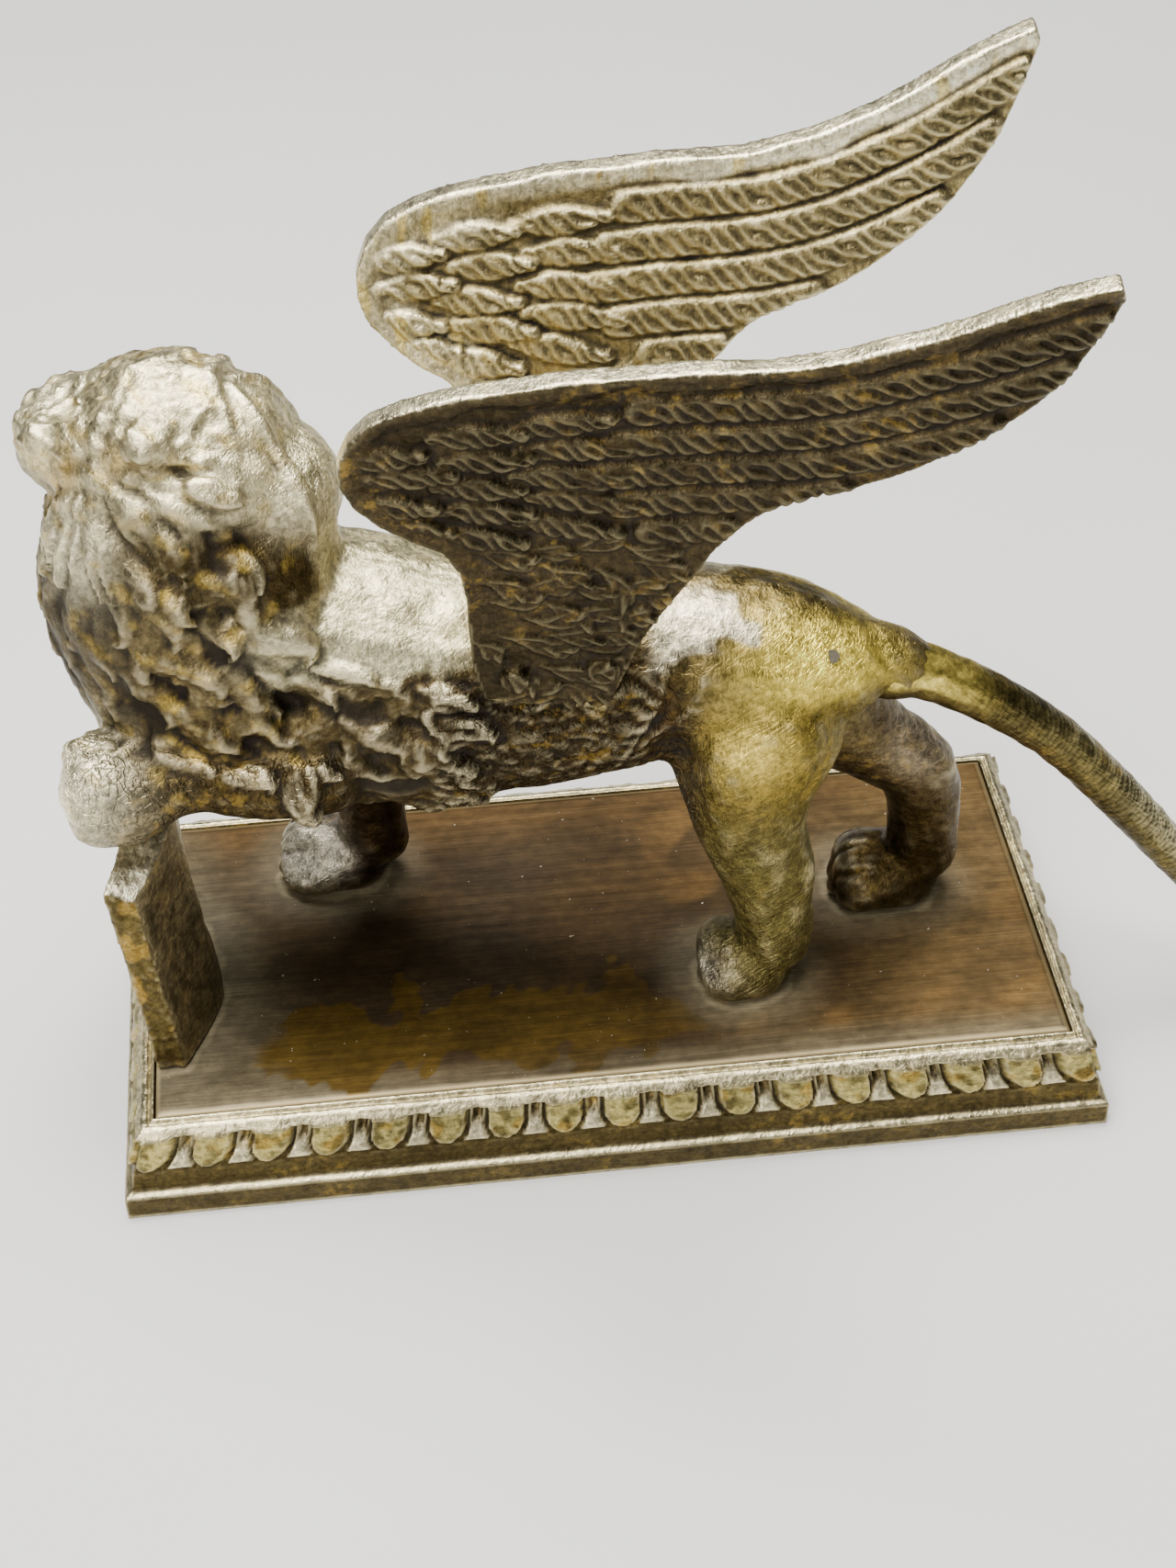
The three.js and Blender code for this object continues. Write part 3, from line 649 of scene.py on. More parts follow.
def lion_extras():
    """What the CAD form leaves out: muzzle, cheeks, ears, jaw, nape, toes, pin plug and rump."""
    yaw = math.atan2(HEAD_WAY[1], HEAD_WAY[0])
    shapes = []
    for left in (1, -1):
        shapes.append((on_head(15.8, left * 3.6, -3.4), (4.6, 4.2, 4.4), yaw))
        shapes.append((on_head(3.0, left * 9.5, -4.0), (5.5, 3.6, 6.5), yaw))
    shapes += [
        ((-56.5, -9.8, 116.6), (3.6, 2.6, 3.6), 0.4), ((-50.0, 12.2, 112.0), (3.0, 2.2, 3.4), -0.3),
        (on_head(13.5, 0, -9.5), (4.6, 3.8, 3.2), yaw), ((-48.5, 0, 110.4), (9.0, 10.0, 9.0)),
        ((-41.4, -1.0, 103), (8.0, 10.0, 9.0)),
    ]
    for (x, y), reach in TOES:
        for out, back in ((-4.6, 1.0), (-1.6, -0.3), (1.6, -0.3), (4.6, 1.0)):
            shapes.append(((x - reach + back, y + out, 17.6), (3.8, 1.9, 2.8)))
    shapes.append(((33.7, -5.7, 75.2), (2.2, 2.0, 2.2)))
    shapes.append(((41.5, 0, 70.8), (10.5, 5.0, 5.0), 0, 0.42))
    return [ellipsoid(*shape) for shape in shapes]


def mane_weight(p):
    """Where the long locks lie: round the neck and over the chest, clear of the forearm."""
    x, y, z = p.T
    face = smoothstep(98, 101, z) * smoothstep(3.5, 6.0, (p - SKULL) @ HEAD_WAY)
    low = smoothstep(51, 55, z - 6 * smoothstep(-28, -38, x))
    edge = -23 - 22 * smoothstep(78, 84, z) - 0.15 * np.maximum(0, z - 88)
    back = smoothstep(edge + 2, edge - 2, x)
    top = smoothstep(108, 105, z + 0.25 * (x + 50))
    forearm = smoothstep(-30, -36, x) * smoothstep(71, 68, z) * smoothstep(-7, -10, y)
    throat = smoothstep(104, 98, z) * smoothstep(-58, THROAT, x)
    side = np.maximum(smoothstep(4.0, 7.0, np.abs(y)), throat)
    whiskers = np.clip(1.5 * near(p, (-67, -8, 101), (6.5, 9, 8)), 0, 1)
    paw = np.clip(1.8 * near(p, (-70, -20, 67), (10, 9, 9)), 0, 1)
    clear = (1 - face) * (1 - forearm) * (1 - whiskers) * (1 - paw)
    return clear * low * back * top * np.maximum(side, smoothstep(86, 80, z))


def comb_mane(surface, weight):
    """Layered locks that fall and sweep back, most ending in a curl."""
    comb = Comb(surface)
    own = np.random.default_rng(SEED + 1)
    for index in scattered(surface, weight, MANE_SPACING, SEED + 2):
        start = surface.points[index]
        x, y, z = start
        in_front = x < THROAT
        side = -1 if y < 0 else 1
        sweep = 0.15 + 0.75 * smoothstep(100, 72, z) + 0.5 * smoothstep(-50, -30, x)
        fall = np.array([0.12 if in_front else sweep, 0.0, -1.0]) + own.normal(scale=0.34, size=3)
        way = side * (1 if own.random() < 0.7 else -1)
        bend = way * own.uniform(0.05, 0.16)
        tip = way * own.uniform(0.3, 0.62)
        length = own.uniform(8.5, 15)
        strands = own.choice([4, 5, 6])
        height = own.uniform(1.6, 2.9) * (0.5 if in_front else 1.0)
        comb.stroke(
            start, fall, length,
            lambda share: -bend * math.cos(share * 2.6) + tip * smoothstep(0.5, 1.0, share),
            own.uniform(1.9, 3.1), height, lock(strands, 0.5), 0.6)


def comb_ruff(surface):
    """Long narrow whisker locks that hang from the cheeks, and the beard under the jaw."""
    comb = Comb(surface)
    own = np.random.default_rng(SEED + 3)
    for left in (1, -1):
        for turn in np.arange(10) / 9:
            start = on_head(9.0 - 12 * turn, left * (9.0 + 4.5 * turn), -4.5 + 3.5 * turn)
            heading = np.array([0.05 + 0.35 * turn, 0, -1.0]) + own.normal(scale=0.05, size=3)
            bend = left * own.uniform(-0.03, 0.04)
            comb.stroke(
                start, heading, own.uniform(12, 15), lambda share: bend * (2 * share - 1),
                own.uniform(1.1, 1.5), own.uniform(1.8, 2.5), lock(1, 0.1), 0.4)
    for across in np.arange(-3, 4) / 3:
        start = on_head(14.5 - 2.5 * abs(across), across * 6.5, -11.5)
        heading = np.array([0.15, 0.0, -1.0]) + own.normal(scale=0.05, size=3)
        comb.stroke(start, heading, own.uniform(15, 20), 0.03 * across, 1.8, 1.3, lock(3, 0.3), 0.6)


def comb_nape(surface):
    """The band behind the face, and the filed strands that run down the nape from it."""
    comb = Comb(surface)
    own = np.random.default_rng(SEED + 6)
    for side in (LEFT, RIGHT):
        comb.stroke((-49.5, 0, 121), (0.3, side, -0.5), 15, 0.02, 1.3, 0.55, fading(0.4), 0.3)
        comb.stroke(
            (-52.5, side * 12, 112.8), (0.62, side * 0.2, -0.75), 8.5, 0.03,
            2.0, 2.0, lock(2, 0.2), 1.0)
        for i in range(6):
            start = (-57.8 + 1.3 * i, side * (12.6 + 0.2 * i), 111.6 - 0.7 * i)
            comb.stroke(start, (0.65, 0, -0.7), 5.0, side * 0.05, 0.85, 1.1, lock(1, 0.2), 0.6)
        for i in range(15):
            start = (-47.5 + 0.62 * i, side * (1.0 + 0.45 * i), 118 - 0.5 * i)
            comb.stroke(
                start, (0.42, side * 0.45, -1.0), own.uniform(12, 17), 0.0,
                own.uniform(0.7, 1.0), own.uniform(0.6, 1.0), round_strand, 0.35)
    for turn in np.arange(16) / 15:
        start = on_head(5.5 - 15 * turn, 11 + 1.5 * turn, 0.5 - 3.5 * turn)
        heading = np.array([0.55, -0.25, -0.8]) + own.normal(scale=0.12, size=3)
        comb.stroke(
            start, heading, own.uniform(4, 6.5), 0.05,
            own.uniform(0.9, 1.3), own.uniform(0.7, 1.1), lock(2, 0.3), 0.6)


def cut_toes(surface):
    """Grooves between the toes, from the front of each paw back over its top."""
    comb = Comb(surface)
    for (x, y, z), length in TOE_CUTS:
        for out in (-3.0, 0, 3.0):
            comb.stroke((x, y + out, z), (1, 0, 0.25), length, 0.0, 0.8, -0.6, fading(0.7), 0.5)


def cut_flank_folds(surface):
    """The fold before each thigh, deepest halfway down."""
    comb = Comb(surface)
    for side in (LEFT, RIGHT):
        comb.stroke(
            (13.5, side * 11, 79.5), (-0.25, side * 0.2, -1), 22, 0.02 * side, 2.6, -1.3,
            lambda share, across: (1 - across ** 2) * (0.5 + share) * smoothstep(1, 0.7, share), 0.4)


def strike_fur(surface, weight):
    """Short curved cuts of the chaser over the smooth parts of the coat."""
    comb = Comb(surface)
    own = np.random.default_rng(SEED + 5)
    for index in scattered(surface, weight, FUR_SPACING, SEED + 5):
        heading = np.array([1.0, 0, -0.35]) + own.normal(scale=0.35, size=3)
        bend = own.uniform(-0.35, 0.35)
        comb.stroke(
            surface.points[index], heading, FUR_LENGTH * own.uniform(0.7, 1.3),
            lambda share: bend * math.cos(3 * share), 0.75, -0.4, fading(0), 0.7)


def model_lion(surface):
    """Eye hollows, nostrils, stop, cheeks and ears, and the muscles and hollows of the trunk."""
    for left in (1, -1):
        for forward, out, up, deep in (
            (11.0, 6.6, 1.8, 2.4), (12.2, 6.4, -1.6, 2.6), (14.4, 6.0, -5.6, 2.4),
        ):
            surface.swell(on_head(forward, left * out, up), (2.4, 3.4, 2.8), -deep)
        surface.swell(on_head(21.5, left * 1.8, -1.6), (1.0, 1.0, 0.9), -0.9)
        surface.swell(on_head(8.0, left * 8.0, -3.5), (4, 4, 4), 1.2)
    for swells, facets in ((HEAD_SWELLS, HEAD_FACETS), (BODY_SWELLS, BODY_FACETS)):
        for swell in swells:
            surface.swell(*swell)
        for facet in facets:
            surface.file_flat(*facet)


def comb_lion(surface, weight):
    """Mane, whiskers, nape and coat. Gives back how far the locks stand out."""
    x = surface.points[:, 0]
    surface.push(weight * 0.9 * waves(surface.points, 10, 12) * smoothstep(-70, -62, x))
    surface.relief[:] = 0
    comb_mane(surface, weight)
    comb_ruff(surface)
    comb_nape(surface)
    surface.push(surface.smoothed(surface.relief, 1, 0.25) - 1.15 * surface.smoothed(weight, 3))
    locks = surface.relief.copy()

    surface.relief[:] = 0
    cut_flank_folds(surface)
    cut_toes(surface)
    x, y, z = surface.points.T
    trunk = smoothstep(-30, -24, x) * smoothstep(16, 6, x)
    trunk = trunk * smoothstep(50, 54, z) * smoothstep(82, 78, z)
    strike_fur(surface, trunk)
    surface.push(surface.relief)
    return locks


def paint_lion(p, up, weight):
    """The tint of the lion, with painted highlights and painted shade, and how far each point is filed.
    """
    x, y, z = p.T
    blotch = 0.5 + 0.5 * waves(p, 17, 5)
    paint = Paint(p, "#6b5d3e")
    # Painted shade: the flanks between the shoulders and the thighs are darkened.
    flank = smoothstep(-34, -18, x) * smoothstep(20, 8, x) * smoothstep(86, 76, z)
    paint.lay(flank, "#322817")

    # Mane, face and neck
    paint.lay(weight * 0.95, "#62563a")
    paint.lay(weight * smoothstep(88, 70, z) * 0.65, "#43371f")
    # Painted shade on the near side of the neck, below the ear.
    paint.spot((-50, -15, 102), (11, 7, 6), 1.2, "#4e4226")
    # Painted highlight on the near shoulder.
    paint.spot((-41, -14, 87), (9, 6, 6), 1.2, "#d2c8a4")
    paint.spot((-68, -9, 100), (7, 9, 9), 1.4, "#e9e0bd")
    # Painted highlight: the top of the head is paler where it faces up.
    paint.lay(smoothstep(103, 110, z) * smoothstep(-0.6, 0.3, up), "#c3b994")
    paint.spot((-42, 0, 106), (11, 15, 12), 1.3, "#dad1af")
    # Painted shade in the recess of the mane below the ear.
    paint.spot((-40, -12, 95.5), (9, 6, 6.5), 1.5, "#463a21")
    paint.spot((-48, -14, 101), (9, 6, 5), 1.5, "#463a21")
    # Painted highlight on the saddle of the back, lit from above, kept clear of the neck.
    saddle_height = z + 1.6 * waves(p, 7, 20)
    saddle = smoothstep(-47, -42, x) * smoothstep(-14, -20, x) * smoothstep(79.5, 81.5, saddle_height)
    neck = smoothstep(89.5, 92.5, z) * smoothstep(-33, -36.5, x) * smoothstep(-7, -9, y)
    paint.lay(saddle * (1 - neck), "#c9c09b")
    paint.spot(on_head(18, 0, 0), (8, 9, 9), 0.9, "#d0caa9")

    # Hip, back and hind legs
    # The hips' brass tone, laid bright as a painted highlight where they catch the light.
    hip = np.maximum(near(p, (34, -9, 76), (14, 9, 9)), near(p, (34, 9, 76), (14, 9, 9)))
    paint.lay(hip * 1.6, "#f8de62")
    patch_edge = x + 0.9 * (z - 82) + 1.4 * waves(p, 7, 19)
    patch_foot = z - 0.25 * (x - 16) + 0.7 * waves(p, 5, 21)
    patch = smoothstep(7, 10, x) * smoothstep(22.5, 21.5, patch_edge)
    patch = patch * smoothstep(79.4, 80.4, patch_foot)
    paint.lay(patch * (1 - near(p, (14, 0, 86), (9, 4, 4))), "#cbc1a4")
    thigh = smoothstep(13, 18, x) * smoothstep(75, 68, z) * smoothstep(2, -4, y)
    paint.lay(thigh * (0.7 + 0.3 * blotch), "#6f6028")
    paint.spot((22, -17, 66), (7, 6, 7), 0.9, "#e2c864")
    paint.lay(thigh * smoothstep(60, 44, z) * 0.7, "#6e663c")
    pale_streaks = smoothstep(0.3, 0.9, waves(p, 5, 15)) * smoothstep(54, 46, z)
    paint.lay(thigh * pale_streaks * 0.4, "#b9ab78")
    paint.spot((30, 0.5, 83), (22, 4.2, 6), 1.3, "#5f5330")
    # Painted shade in the fold before the near thigh.
    paint.spot((10, -13, 68), (3.5, 6, 10), 1.3, "#46361f")
    # Painted shade: the far hind leg, under the body, is darkened.
    far_leg = smoothstep(26, 34, x) * smoothstep(66, 56, z) * smoothstep(0, 4, y)
    paint.lay(far_leg, "#46391f")
    outer_ridge = near(p, (50, 6, 49), (9, 5, 8))
    paint.lay(far_leg * np.clip(outer_ridge * 1.4, 0, 1) * 0.8, "#8d806a")

    # Forelegs and paws
    # Painted shade: the far foreleg, under the chest, is darkened.
    foreleg = smoothstep(-50, -44, x) * smoothstep(-26, -30, x)
    foreleg = foreleg * smoothstep(56, 50, z) * smoothstep(4, 8, y)
    paint.lay(foreleg, "#43331f")
    # The filed facet of the far fore paw: pale as filed metal, and as a painted highlight.
    fore_facet = near(p, (-46, 11.5, 22.5), (6.5, 6.0, 6.0))
    paint.lay(fore_facet * 2.2, "#d6cebb")
    # Painted shade on the near forearm, under the chest.
    forearm = smoothstep(-6, -10, y) * smoothstep(71, 68, z)
    forearm = forearm * smoothstep(-30, -36, x) * smoothstep(52, 54, z)
    paint.lay(forearm, "#41351e")
    paint.spot((-73, -18, 66), (10, 11, 10), 1.4, "#e8dfbe")
    paint.spot((17, -12, 20), (5, 7, 4), 1.1, "#b9b19c")

    # Traces of gilding
    spots = smoothstep(0.6, 1.0, waves(p, 3.8, 8)) * smoothstep(-0.4, 0.4, up)
    paint.lay(0.45 * spots * smoothstep(60, 75, z) * smoothstep(-35, -45, x), "#cdae50")
    for place in ((-68.5, -6.5, 111), (-70.5, -5, 106.5), (-61, -9, 114)):
        paint.spot(place, (3, 3, 3.4), 0.7, "#b08c34")
    gilt_paw = near(p, (-73, -20, 62), (6, 6, 5)) * smoothstep(0.1, 0.6, waves(p, 5, 18))
    paint.lay(gilt_paw * 0.8, "#c8a650")

    nape = near(p, (-40, 0, 106), (12, 16, 12))
    filed = 0.2 + 0.8 * np.maximum.reduce([hip, thigh, nape, fore_facet])
    return paint.colours, np.clip(filed, 0, 1)


def make_lion():
    surface = cast("lion_body", lion_extras(), LION_VOXEL)
    surface.relax(11)
    surface.push(np.full(len(surface.points), 0.2))
    model_lion(surface)
    weight = mane_weight(surface.points)
    locks = comb_lion(surface, weight)

    p = surface.points
    x, y, z = p.T
    up = surface.normals[:, 2]
    surface.push(0.10 * waves(p, 5.5, 3) + 0.07 * waves(p, 2.4, 4))
    blisters = 0.4 * smoothstep(0.25, 0.8, waves(p, 3.6, 9))
    blisters = blisters + 0.25 * smoothstep(0.4, 1.0, waves(p, 2.3, 10))
    surface.push(smoothstep(108, 113, z) * smoothstep(-44, -50, x) * blisters)
    peak, hollow = wear(surface)
    # The gaps between the mane's locks are darkened too: painted shade with some grime.
    hollow = np.clip(hollow + 0.95 * weight * smoothstep(1.2, 0.2, locks), 0, 1)
    tint, filed = paint_lion(p, up, weight)
    smooth_parts = 1 - np.clip(weight * 1.2, 0, 1)
    fur = smooth_parts * smoothstep(22, 10, x) * smoothstep(84, 76, z) * smoothstep(30, 45, z)
    material = bronze(
        "aged_bronze", ((240, 900, 3000), (0, 0.5, 0)), rough=0.42, marks_depth=0.00022,
        second_marks=((2600, 2600, 260), (0.35, 0.0, 0.2)), squiggles=True)
    shown("lion_casting", surface, row_from_lion, "lion_body", material, {
        "tint": tint, "peak": peak * (0.9 - 0.35 * weight), "hollow": hollow,
        "fur": fur * 0.8, "file": filed,
    })
    return surface


# Wings

WING_FRONT = [
    (-14, 72), (-16.2, 84), (-16.6, 96), (-18, 105.5), (-25, 110.5), (-30.5, 116.5), (-31.2, 123),
    (-27, 129.5), (-19, 132.7), (-8, 135), (8, 136.8), (26, 138), (41, 143), (54, 149.5), (60.3, 151.8),
]
BORDER = 3.0
ROW = 5.3
ROW_STARTS = [6, 3, 0, 3, 8]
COVERT_TIERS = [(-29.5, 9.5), (-20, 10.5), (-9.5, 12.5)]
EDGE_SAMPLES = 420
WING_PLUGS = [(-10.5, 82), (1.4, 83.4)]
WING_OUT_AT_PIN = 17.2


def curve(points, samples):
    """A smooth curve through points, sampled evenly by knot."""
    p = np.array(points, float)
    p = np.vstack([2 * p[0] - p[1], p, 2 * p[-1] - p[-2]])
    t = np.linspace(0, len(points) - 1, samples)
    i = np.minimum(t.astype(int), len(points) - 2)
    f = (t - i)[:, None]
    a, b, c, d = p[i], p[i + 1], p[i + 2], p[i + 3]
    bend, twist = 2 * a - 5 * b + 4 * c - d, 3 * b - a - 3 * c + d
    return 0.5 * (2 * b + (c - a) * f + bend * f ** 2 + twist * f ** 3)


def edge_distance(points, edge):
    """The distance from each (x, z) point to the edge, and how far along the nearest place is."""
    walked = np.concatenate([[0], np.cumsum(np.linalg.norm(np.diff(edge, axis=0), axis=1))])
    distance = np.empty(len(points))
    along = np.empty(len(points))
    for start in range(0, len(points), 4000):
        part = points[start:start + 4000]
        gaps = ((part[:, None] - edge) ** 2).sum(axis=2)
        best = gaps.argmin(axis=1)
        distance[start:start + 4000] = np.sqrt(gaps[np.arange(len(part)), best])
        along[start:start + 4000] = walked[best]
    return distance, along


def barbed(share, across, length, pitch, jitter):
    """A long feather: a quill along its upper side, and leaf-shaped barbs slanting below it."""
    body = np.clip(1 - np.abs(across) ** 3.5, 0, 1) ** 0.6
    walked = share * length / pitch
    wander = 0.20 * np.sin(1.7 * walked + jitter) + 0.13 * np.sin(3.9 * walked + 2 * jitter)
    notch = np.abs(np.sin(math.pi * (walked - 0.85 * across + wander))) ** 0.55
    vane = smoothstep(-0.8, -0.25, across)
    return body * (0.25 + 0.75 * (1 - vane * (1 - notch)))


def leaf(share, across, strands):
    """A short feather, lifted at its rounded tip, with a quill and a few barbs."""
    body = np.sqrt(np.clip(1 - np.abs(across) ** 2.6, 0, 1))
    vane = 0.75 + 0.25 * np.cos(strands * math.pi * (np.abs(across) - share * 1.2))
    return body * vane * (0.2 + 0.8 * share)


def on_face(tree, x, z, side, outer):
    """The point of a wing's outer or inner face at (x, z), or None beside the wing."""
    start = Vector((x, side * 90, z)) if outer else Vector((x, side * 1.0, z))
    way = Vector((0, -side, 0)) if outer else Vector((0, side, 0))
    point, normal, _, _ = tree.ray_cast(start, way)
    return (point, normal) if point is not None else (None, None)


def path_on_face(tree, flat, side, outer):
    path, normals = [], []
    for x, z in flat:
        point, normal = on_face(tree, x, z, side, outer)
        if point is None:
            continue
        path.append(np.array(point))
        normals.append(np.array(normal))
    return np.array(path), np.array(normals)


def offset_curve(edge, distance):
    """The edge moved inwards, to the right of its own direction."""
    way = np.gradient(edge, axis=0)
    way /= np.linalg.norm(way, axis=1)[:, None]
    return edge + distance * np.column_stack([way[:, 1], -way[:, 0]])


def feather_wing(surface, side, outer):
    """One face's feathers: long ones under the upper edge, coverts below, and small leaves."""
    tree = surface.tree()
    own = np.random.default_rng(SEED + 20 + side + 3 * outer)
    edge = curve(WING_FRONT, EDGE_SAMPLES)
    upper = edge[len(edge) // 2:]
    upwards = side * (1 if outer else -1)
    for row, start_x in enumerate(ROW_STARTS):
        line = offset_curve(upper, BORDER + ROW * (row + 0.5))
        line = line[line[:, 0] > start_x + own.uniform(-1, 1)][::6]
        path, normals = path_on_face(tree, line, side, outer)
        if len(path) < 4:
            continue
        length = np.linalg.norm(np.diff(path, axis=0), axis=1).sum()
        jitter = own.uniform(0, 6)
        lay(surface, path, normals, ROW * 0.5, 1.25,
            lambda share, across: barbed(share, upwards * across, length, 2.6, jitter),
            taper=0.01, flat=0.96)
    for begin, reach in COVERT_TIERS:
        for row in range(5):
            slope = math.radians(7 - 4 * row + own.normal(0, 2))
            first = begin + own.uniform(-0.8, 0.8) + 1.6 * (row % 2)
            first += 2.5 if (begin, row) == (COVERT_TIERS[0][0], 4) else 0
            top = float(np.interp(first + reach / 2, upper[:, 0], upper[:, 1]))
            steps = np.linspace(0, reach + own.uniform(0, 1.0), 14)
            height = top - BORDER - 1.2 - 4.5 * (row + 0.5)
            line = np.column_stack([
                first + steps * math.cos(slope), height + (steps - reach / 2) * math.sin(slope)])
            path, normals = path_on_face(tree, line, side, outer)
            if len(path) < 6:
                continue
            jitter = own.uniform(0, 6)
            lay(surface, path, normals, 2.3, 1.7,
                lambda share, across: (
                    barbed(share, upwards * across, reach, 2.3, jitter) * (0.45 + 0.55 * share)),
                taper=0.9, flat=0.45)
    for rows, z in enumerate(leaf_heights()):
        x = -34 + (rows % 2) * 2.8
        while x < 30:
            place = np.array([[x + own.uniform(-0.8, 0.8), z + own.uniform(-0.6, 0.6)]])
            distance, _ = edge_distance(place, edge)
            if distance[0] > 1.6 and place[0, 1] < 109.5 - 0.1 * max(0, place[0, 0] + 10):
                lay_leaf(surface, tree, own, place, -14 if z < 108 else 4, side, outer)
            x += 6.2


def leaf_heights():
    z = 74.0
    while z < 122:
        yield z
        z += 3.3


def lay_leaf(surface, tree, own, place, slope, side, outer):
    angle = math.radians(own.normal(slope, 15))
    steps = np.linspace(0, own.uniform(6.4, 9.4), 8)
    bend = own.uniform(-0.09, 0.09)
    turned_by = angle + bend * steps
    flat = place + np.column_stack([steps * np.cos(turned_by), steps * np.sin(turned_by)])
    path, normals = path_on_face(tree, flat, side, outer)
    if len(path) >= 5:
        lay(surface, path, normals, own.uniform(1.7, 2.5), own.uniform(1.1, 1.8),
            lambda share, across: leaf(share, across, 2), taper=1.4, flat=0.25)


def make_wing(name, side):
    plugs = [ellipsoid((x, side * WING_OUT_AT_PIN, z), (2.2, 1.2, 2.2)) for x, z in WING_PLUGS]
    surface = cast(name, plugs, FINE_VOXEL)
    distance, _ = edge_distance(surface.points[:, [0, 2]], curve(WING_FRONT, EDGE_SAMPLES))
    surface.relax(4, keep=0.6 * smoothstep(4, 1, distance))
    for outer in (True, False):
        feather_wing(surface, side, outer)
    rim = smoothstep(0.8, 0.45, np.abs(surface.normals[:, 1]))
    high = smoothstep(98, 102, surface.points[:, 2])
    border = smoothstep(3.2, 1.6, distance + 0.5 * waves(surface.points, 9, 31)) * high
    near_rim = np.clip(surface.smoothed(rim, 5) * 2.2, 0, 1)
    plain = (1 - border) * (1 - near_rim)
    relief = surface.smoothed(surface.relief, 1, 0.3) * plain
    surface.push(relief - 0.5 * surface.smoothed(plain, 8) + 0.12 * surface.smoothed(border, 4))
    p = surface.points
    surface.push(0.07 * waves(p, 4.5, 33) * (1 - rim) + 0.12 * rim * waves(p, 11, 34))
    p = surface.points
    peak, hollow = wear(surface, 4, 20)
    open_rim = rim * (distance < 3.5) * high
    peak = np.clip(peak * (1 - 0.5 * border) + 0.35 * open_rim, 0, 1)
    hollow = np.clip(hollow * (1 - open_rim) * (1 - 0.9 * border), 0, 1)
    outward = smoothstep(0.1, 0.6, surface.normals[:, 1] * side)
    inward = smoothstep(0.1, 0.6, -surface.normals[:, 1] * side)
    far = 1.0 if side == RIGHT else 0.0
    paint = Paint(p, "#93855c")
    # Painted shade: the outer faces, turned from the light, are darkened.
    paint.lay(outward * 0.95, "#31281a")
    # Painted highlight along the upper edge of the far wing's inner face, and on the inner shoulder of
    # each wing.
    paint.lay(inward * border * far, "#efe7c6")
    shoulder = smoothstep(-8, -16, p[:, 0]) * inward * smoothstep(7.5, 5.5, distance) * high
    paint.lay(shoulder * 0.8, "#ccc19b")
    gold = smoothstep(0.7, 1.2, waves(p * [1, 1, 0.4], 3.6, 36))
    paint.lay(gold * np.maximum(shoulder, border * inward) * 0.7, "#dcc46c")
    # Painted highlight on the open rim of the top edge.
    paint.lay(open_rim, "#e2d9b8")
    paint.lay(0.3 * gold * open_rim, "#d9c384")
    # Fewer pale worn peaks on the outer faces, to keep their painted shade.
    peak = peak * (1 - 0.8 * outward)
    material = bronze(
        f"{name}_bronze", ((2400, 500, 400), (0, 0, 0)), worn="#dcd0a4", worn_share=0.85, rough=0.38)
    shown(f"{name}_casting", surface, row_from_lion, name, material, {
        "tint": paint.colours, "peak": peak, "hollow": hollow, "file": np.clip(0.2 + open_rim, 0, 1),
    })


# Tail

TAIL_LINE = [
    (40, 70.6), (50, 67), (60, 61.2), (69, 54.2), (79, 43.2), (89, 31), (98, 20.5), (107, 14.5),
    (115.5, 14), (121.5, 18), (124.5, 22),
]


def make_tail():
    collar = [ellipsoid((42.5, 0, 69.6), (8, 5.2, 5.4), 0, 0.35)]
    surface = cast("tail", collar, FINE_VOXEL)
    surface.relax(10)
    line = curve(TAIL_LINE, 500)
    _, along = edge_distance(surface.points[:, [0, 2]], line)
    tuft = smoothstep(84, 90, along)
    p = surface.points
    up = surface.normals[:, 2]
    hair = smoothstep(14, 20, along) * (1 - tuft)
    slant = along + 0.5 * p[:, 1] + 0.35 * waves(p, 7, 41)
    cuts = np.abs(np.sin(math.pi * slant / 0.95)) ** 0.6 - 0.7
    surface.push(hair * cuts * 0.17 * (0.6 + 0.4 * waves(p, 9, 42)))
    comb = Comb(surface)
    own = np.random.default_rng(SEED + 40)
    for i in range(16):
        turn = 2 * math.pi * i / 16
        at = 100 + 6 * (i % 3)
        middle = np.array([at, 0, float(np.interp(at, line[:, 0], line[:, 1]))])
        start = middle + 5 * np.array([0, math.cos(turn), math.sin(turn)])
        bend = own.uniform(-0.06, 0.06)
        comb.stroke(start, (1, 0, 0.1), own.uniform(11, 16), bend, 1.7, 1.3, lock(3, 0.3), 0.6)
    surface.push(surface.smoothed(surface.relief, 1, 0.3) - 0.35 * tuft)
    surface.push(0.05 * waves(p, 4, 43))
    peak, hollow = wear(surface, 2, 12)
    paint = Paint(p, "#5f5430")
    # Painted highlight along the top of the tail, paler towards its end, and bright yellow at its root
    # where it faces up.
    paint.lay(smoothstep(-0.1, 0.6, up) * smoothstep(20, 36, along), "#81764c")
    paint.lay(smoothstep(-0.1, 0.6, up) * smoothstep(42, 60, along), "#b3ab86")
    paint.lay(smoothstep(22, 8, along) * smoothstep(-0.4, 0.4, up), "#efd76c")
    paint.lay(hair * smoothstep(0.1, -0.45, cuts) * 0.8, "#2f2812")
    # Painted shade on the underside of the tail.
    paint.lay(smoothstep(-0.2, -0.8, up) * 0.7, "#3d361d")
    paint.lay(tuft * 0.6, "#6a5a3a")
    material = bronze("tail_bronze", ((2600, 700, 300), (0, 0.85, 0)), marks_depth=0.0001,
                      worn="#cfc29a", crust=0.00012)
    shown("tail_casting", surface, row_from_lion, "tail", material, {
        "tint": paint.colours, "peak": peak * 0.8, "hollow": hollow, "file": 0.3 + 0.5 * hair,
    })


# Book

BOOK_SPINE = (-60.2, -12.5)
BOOK_SPAN = 14.6


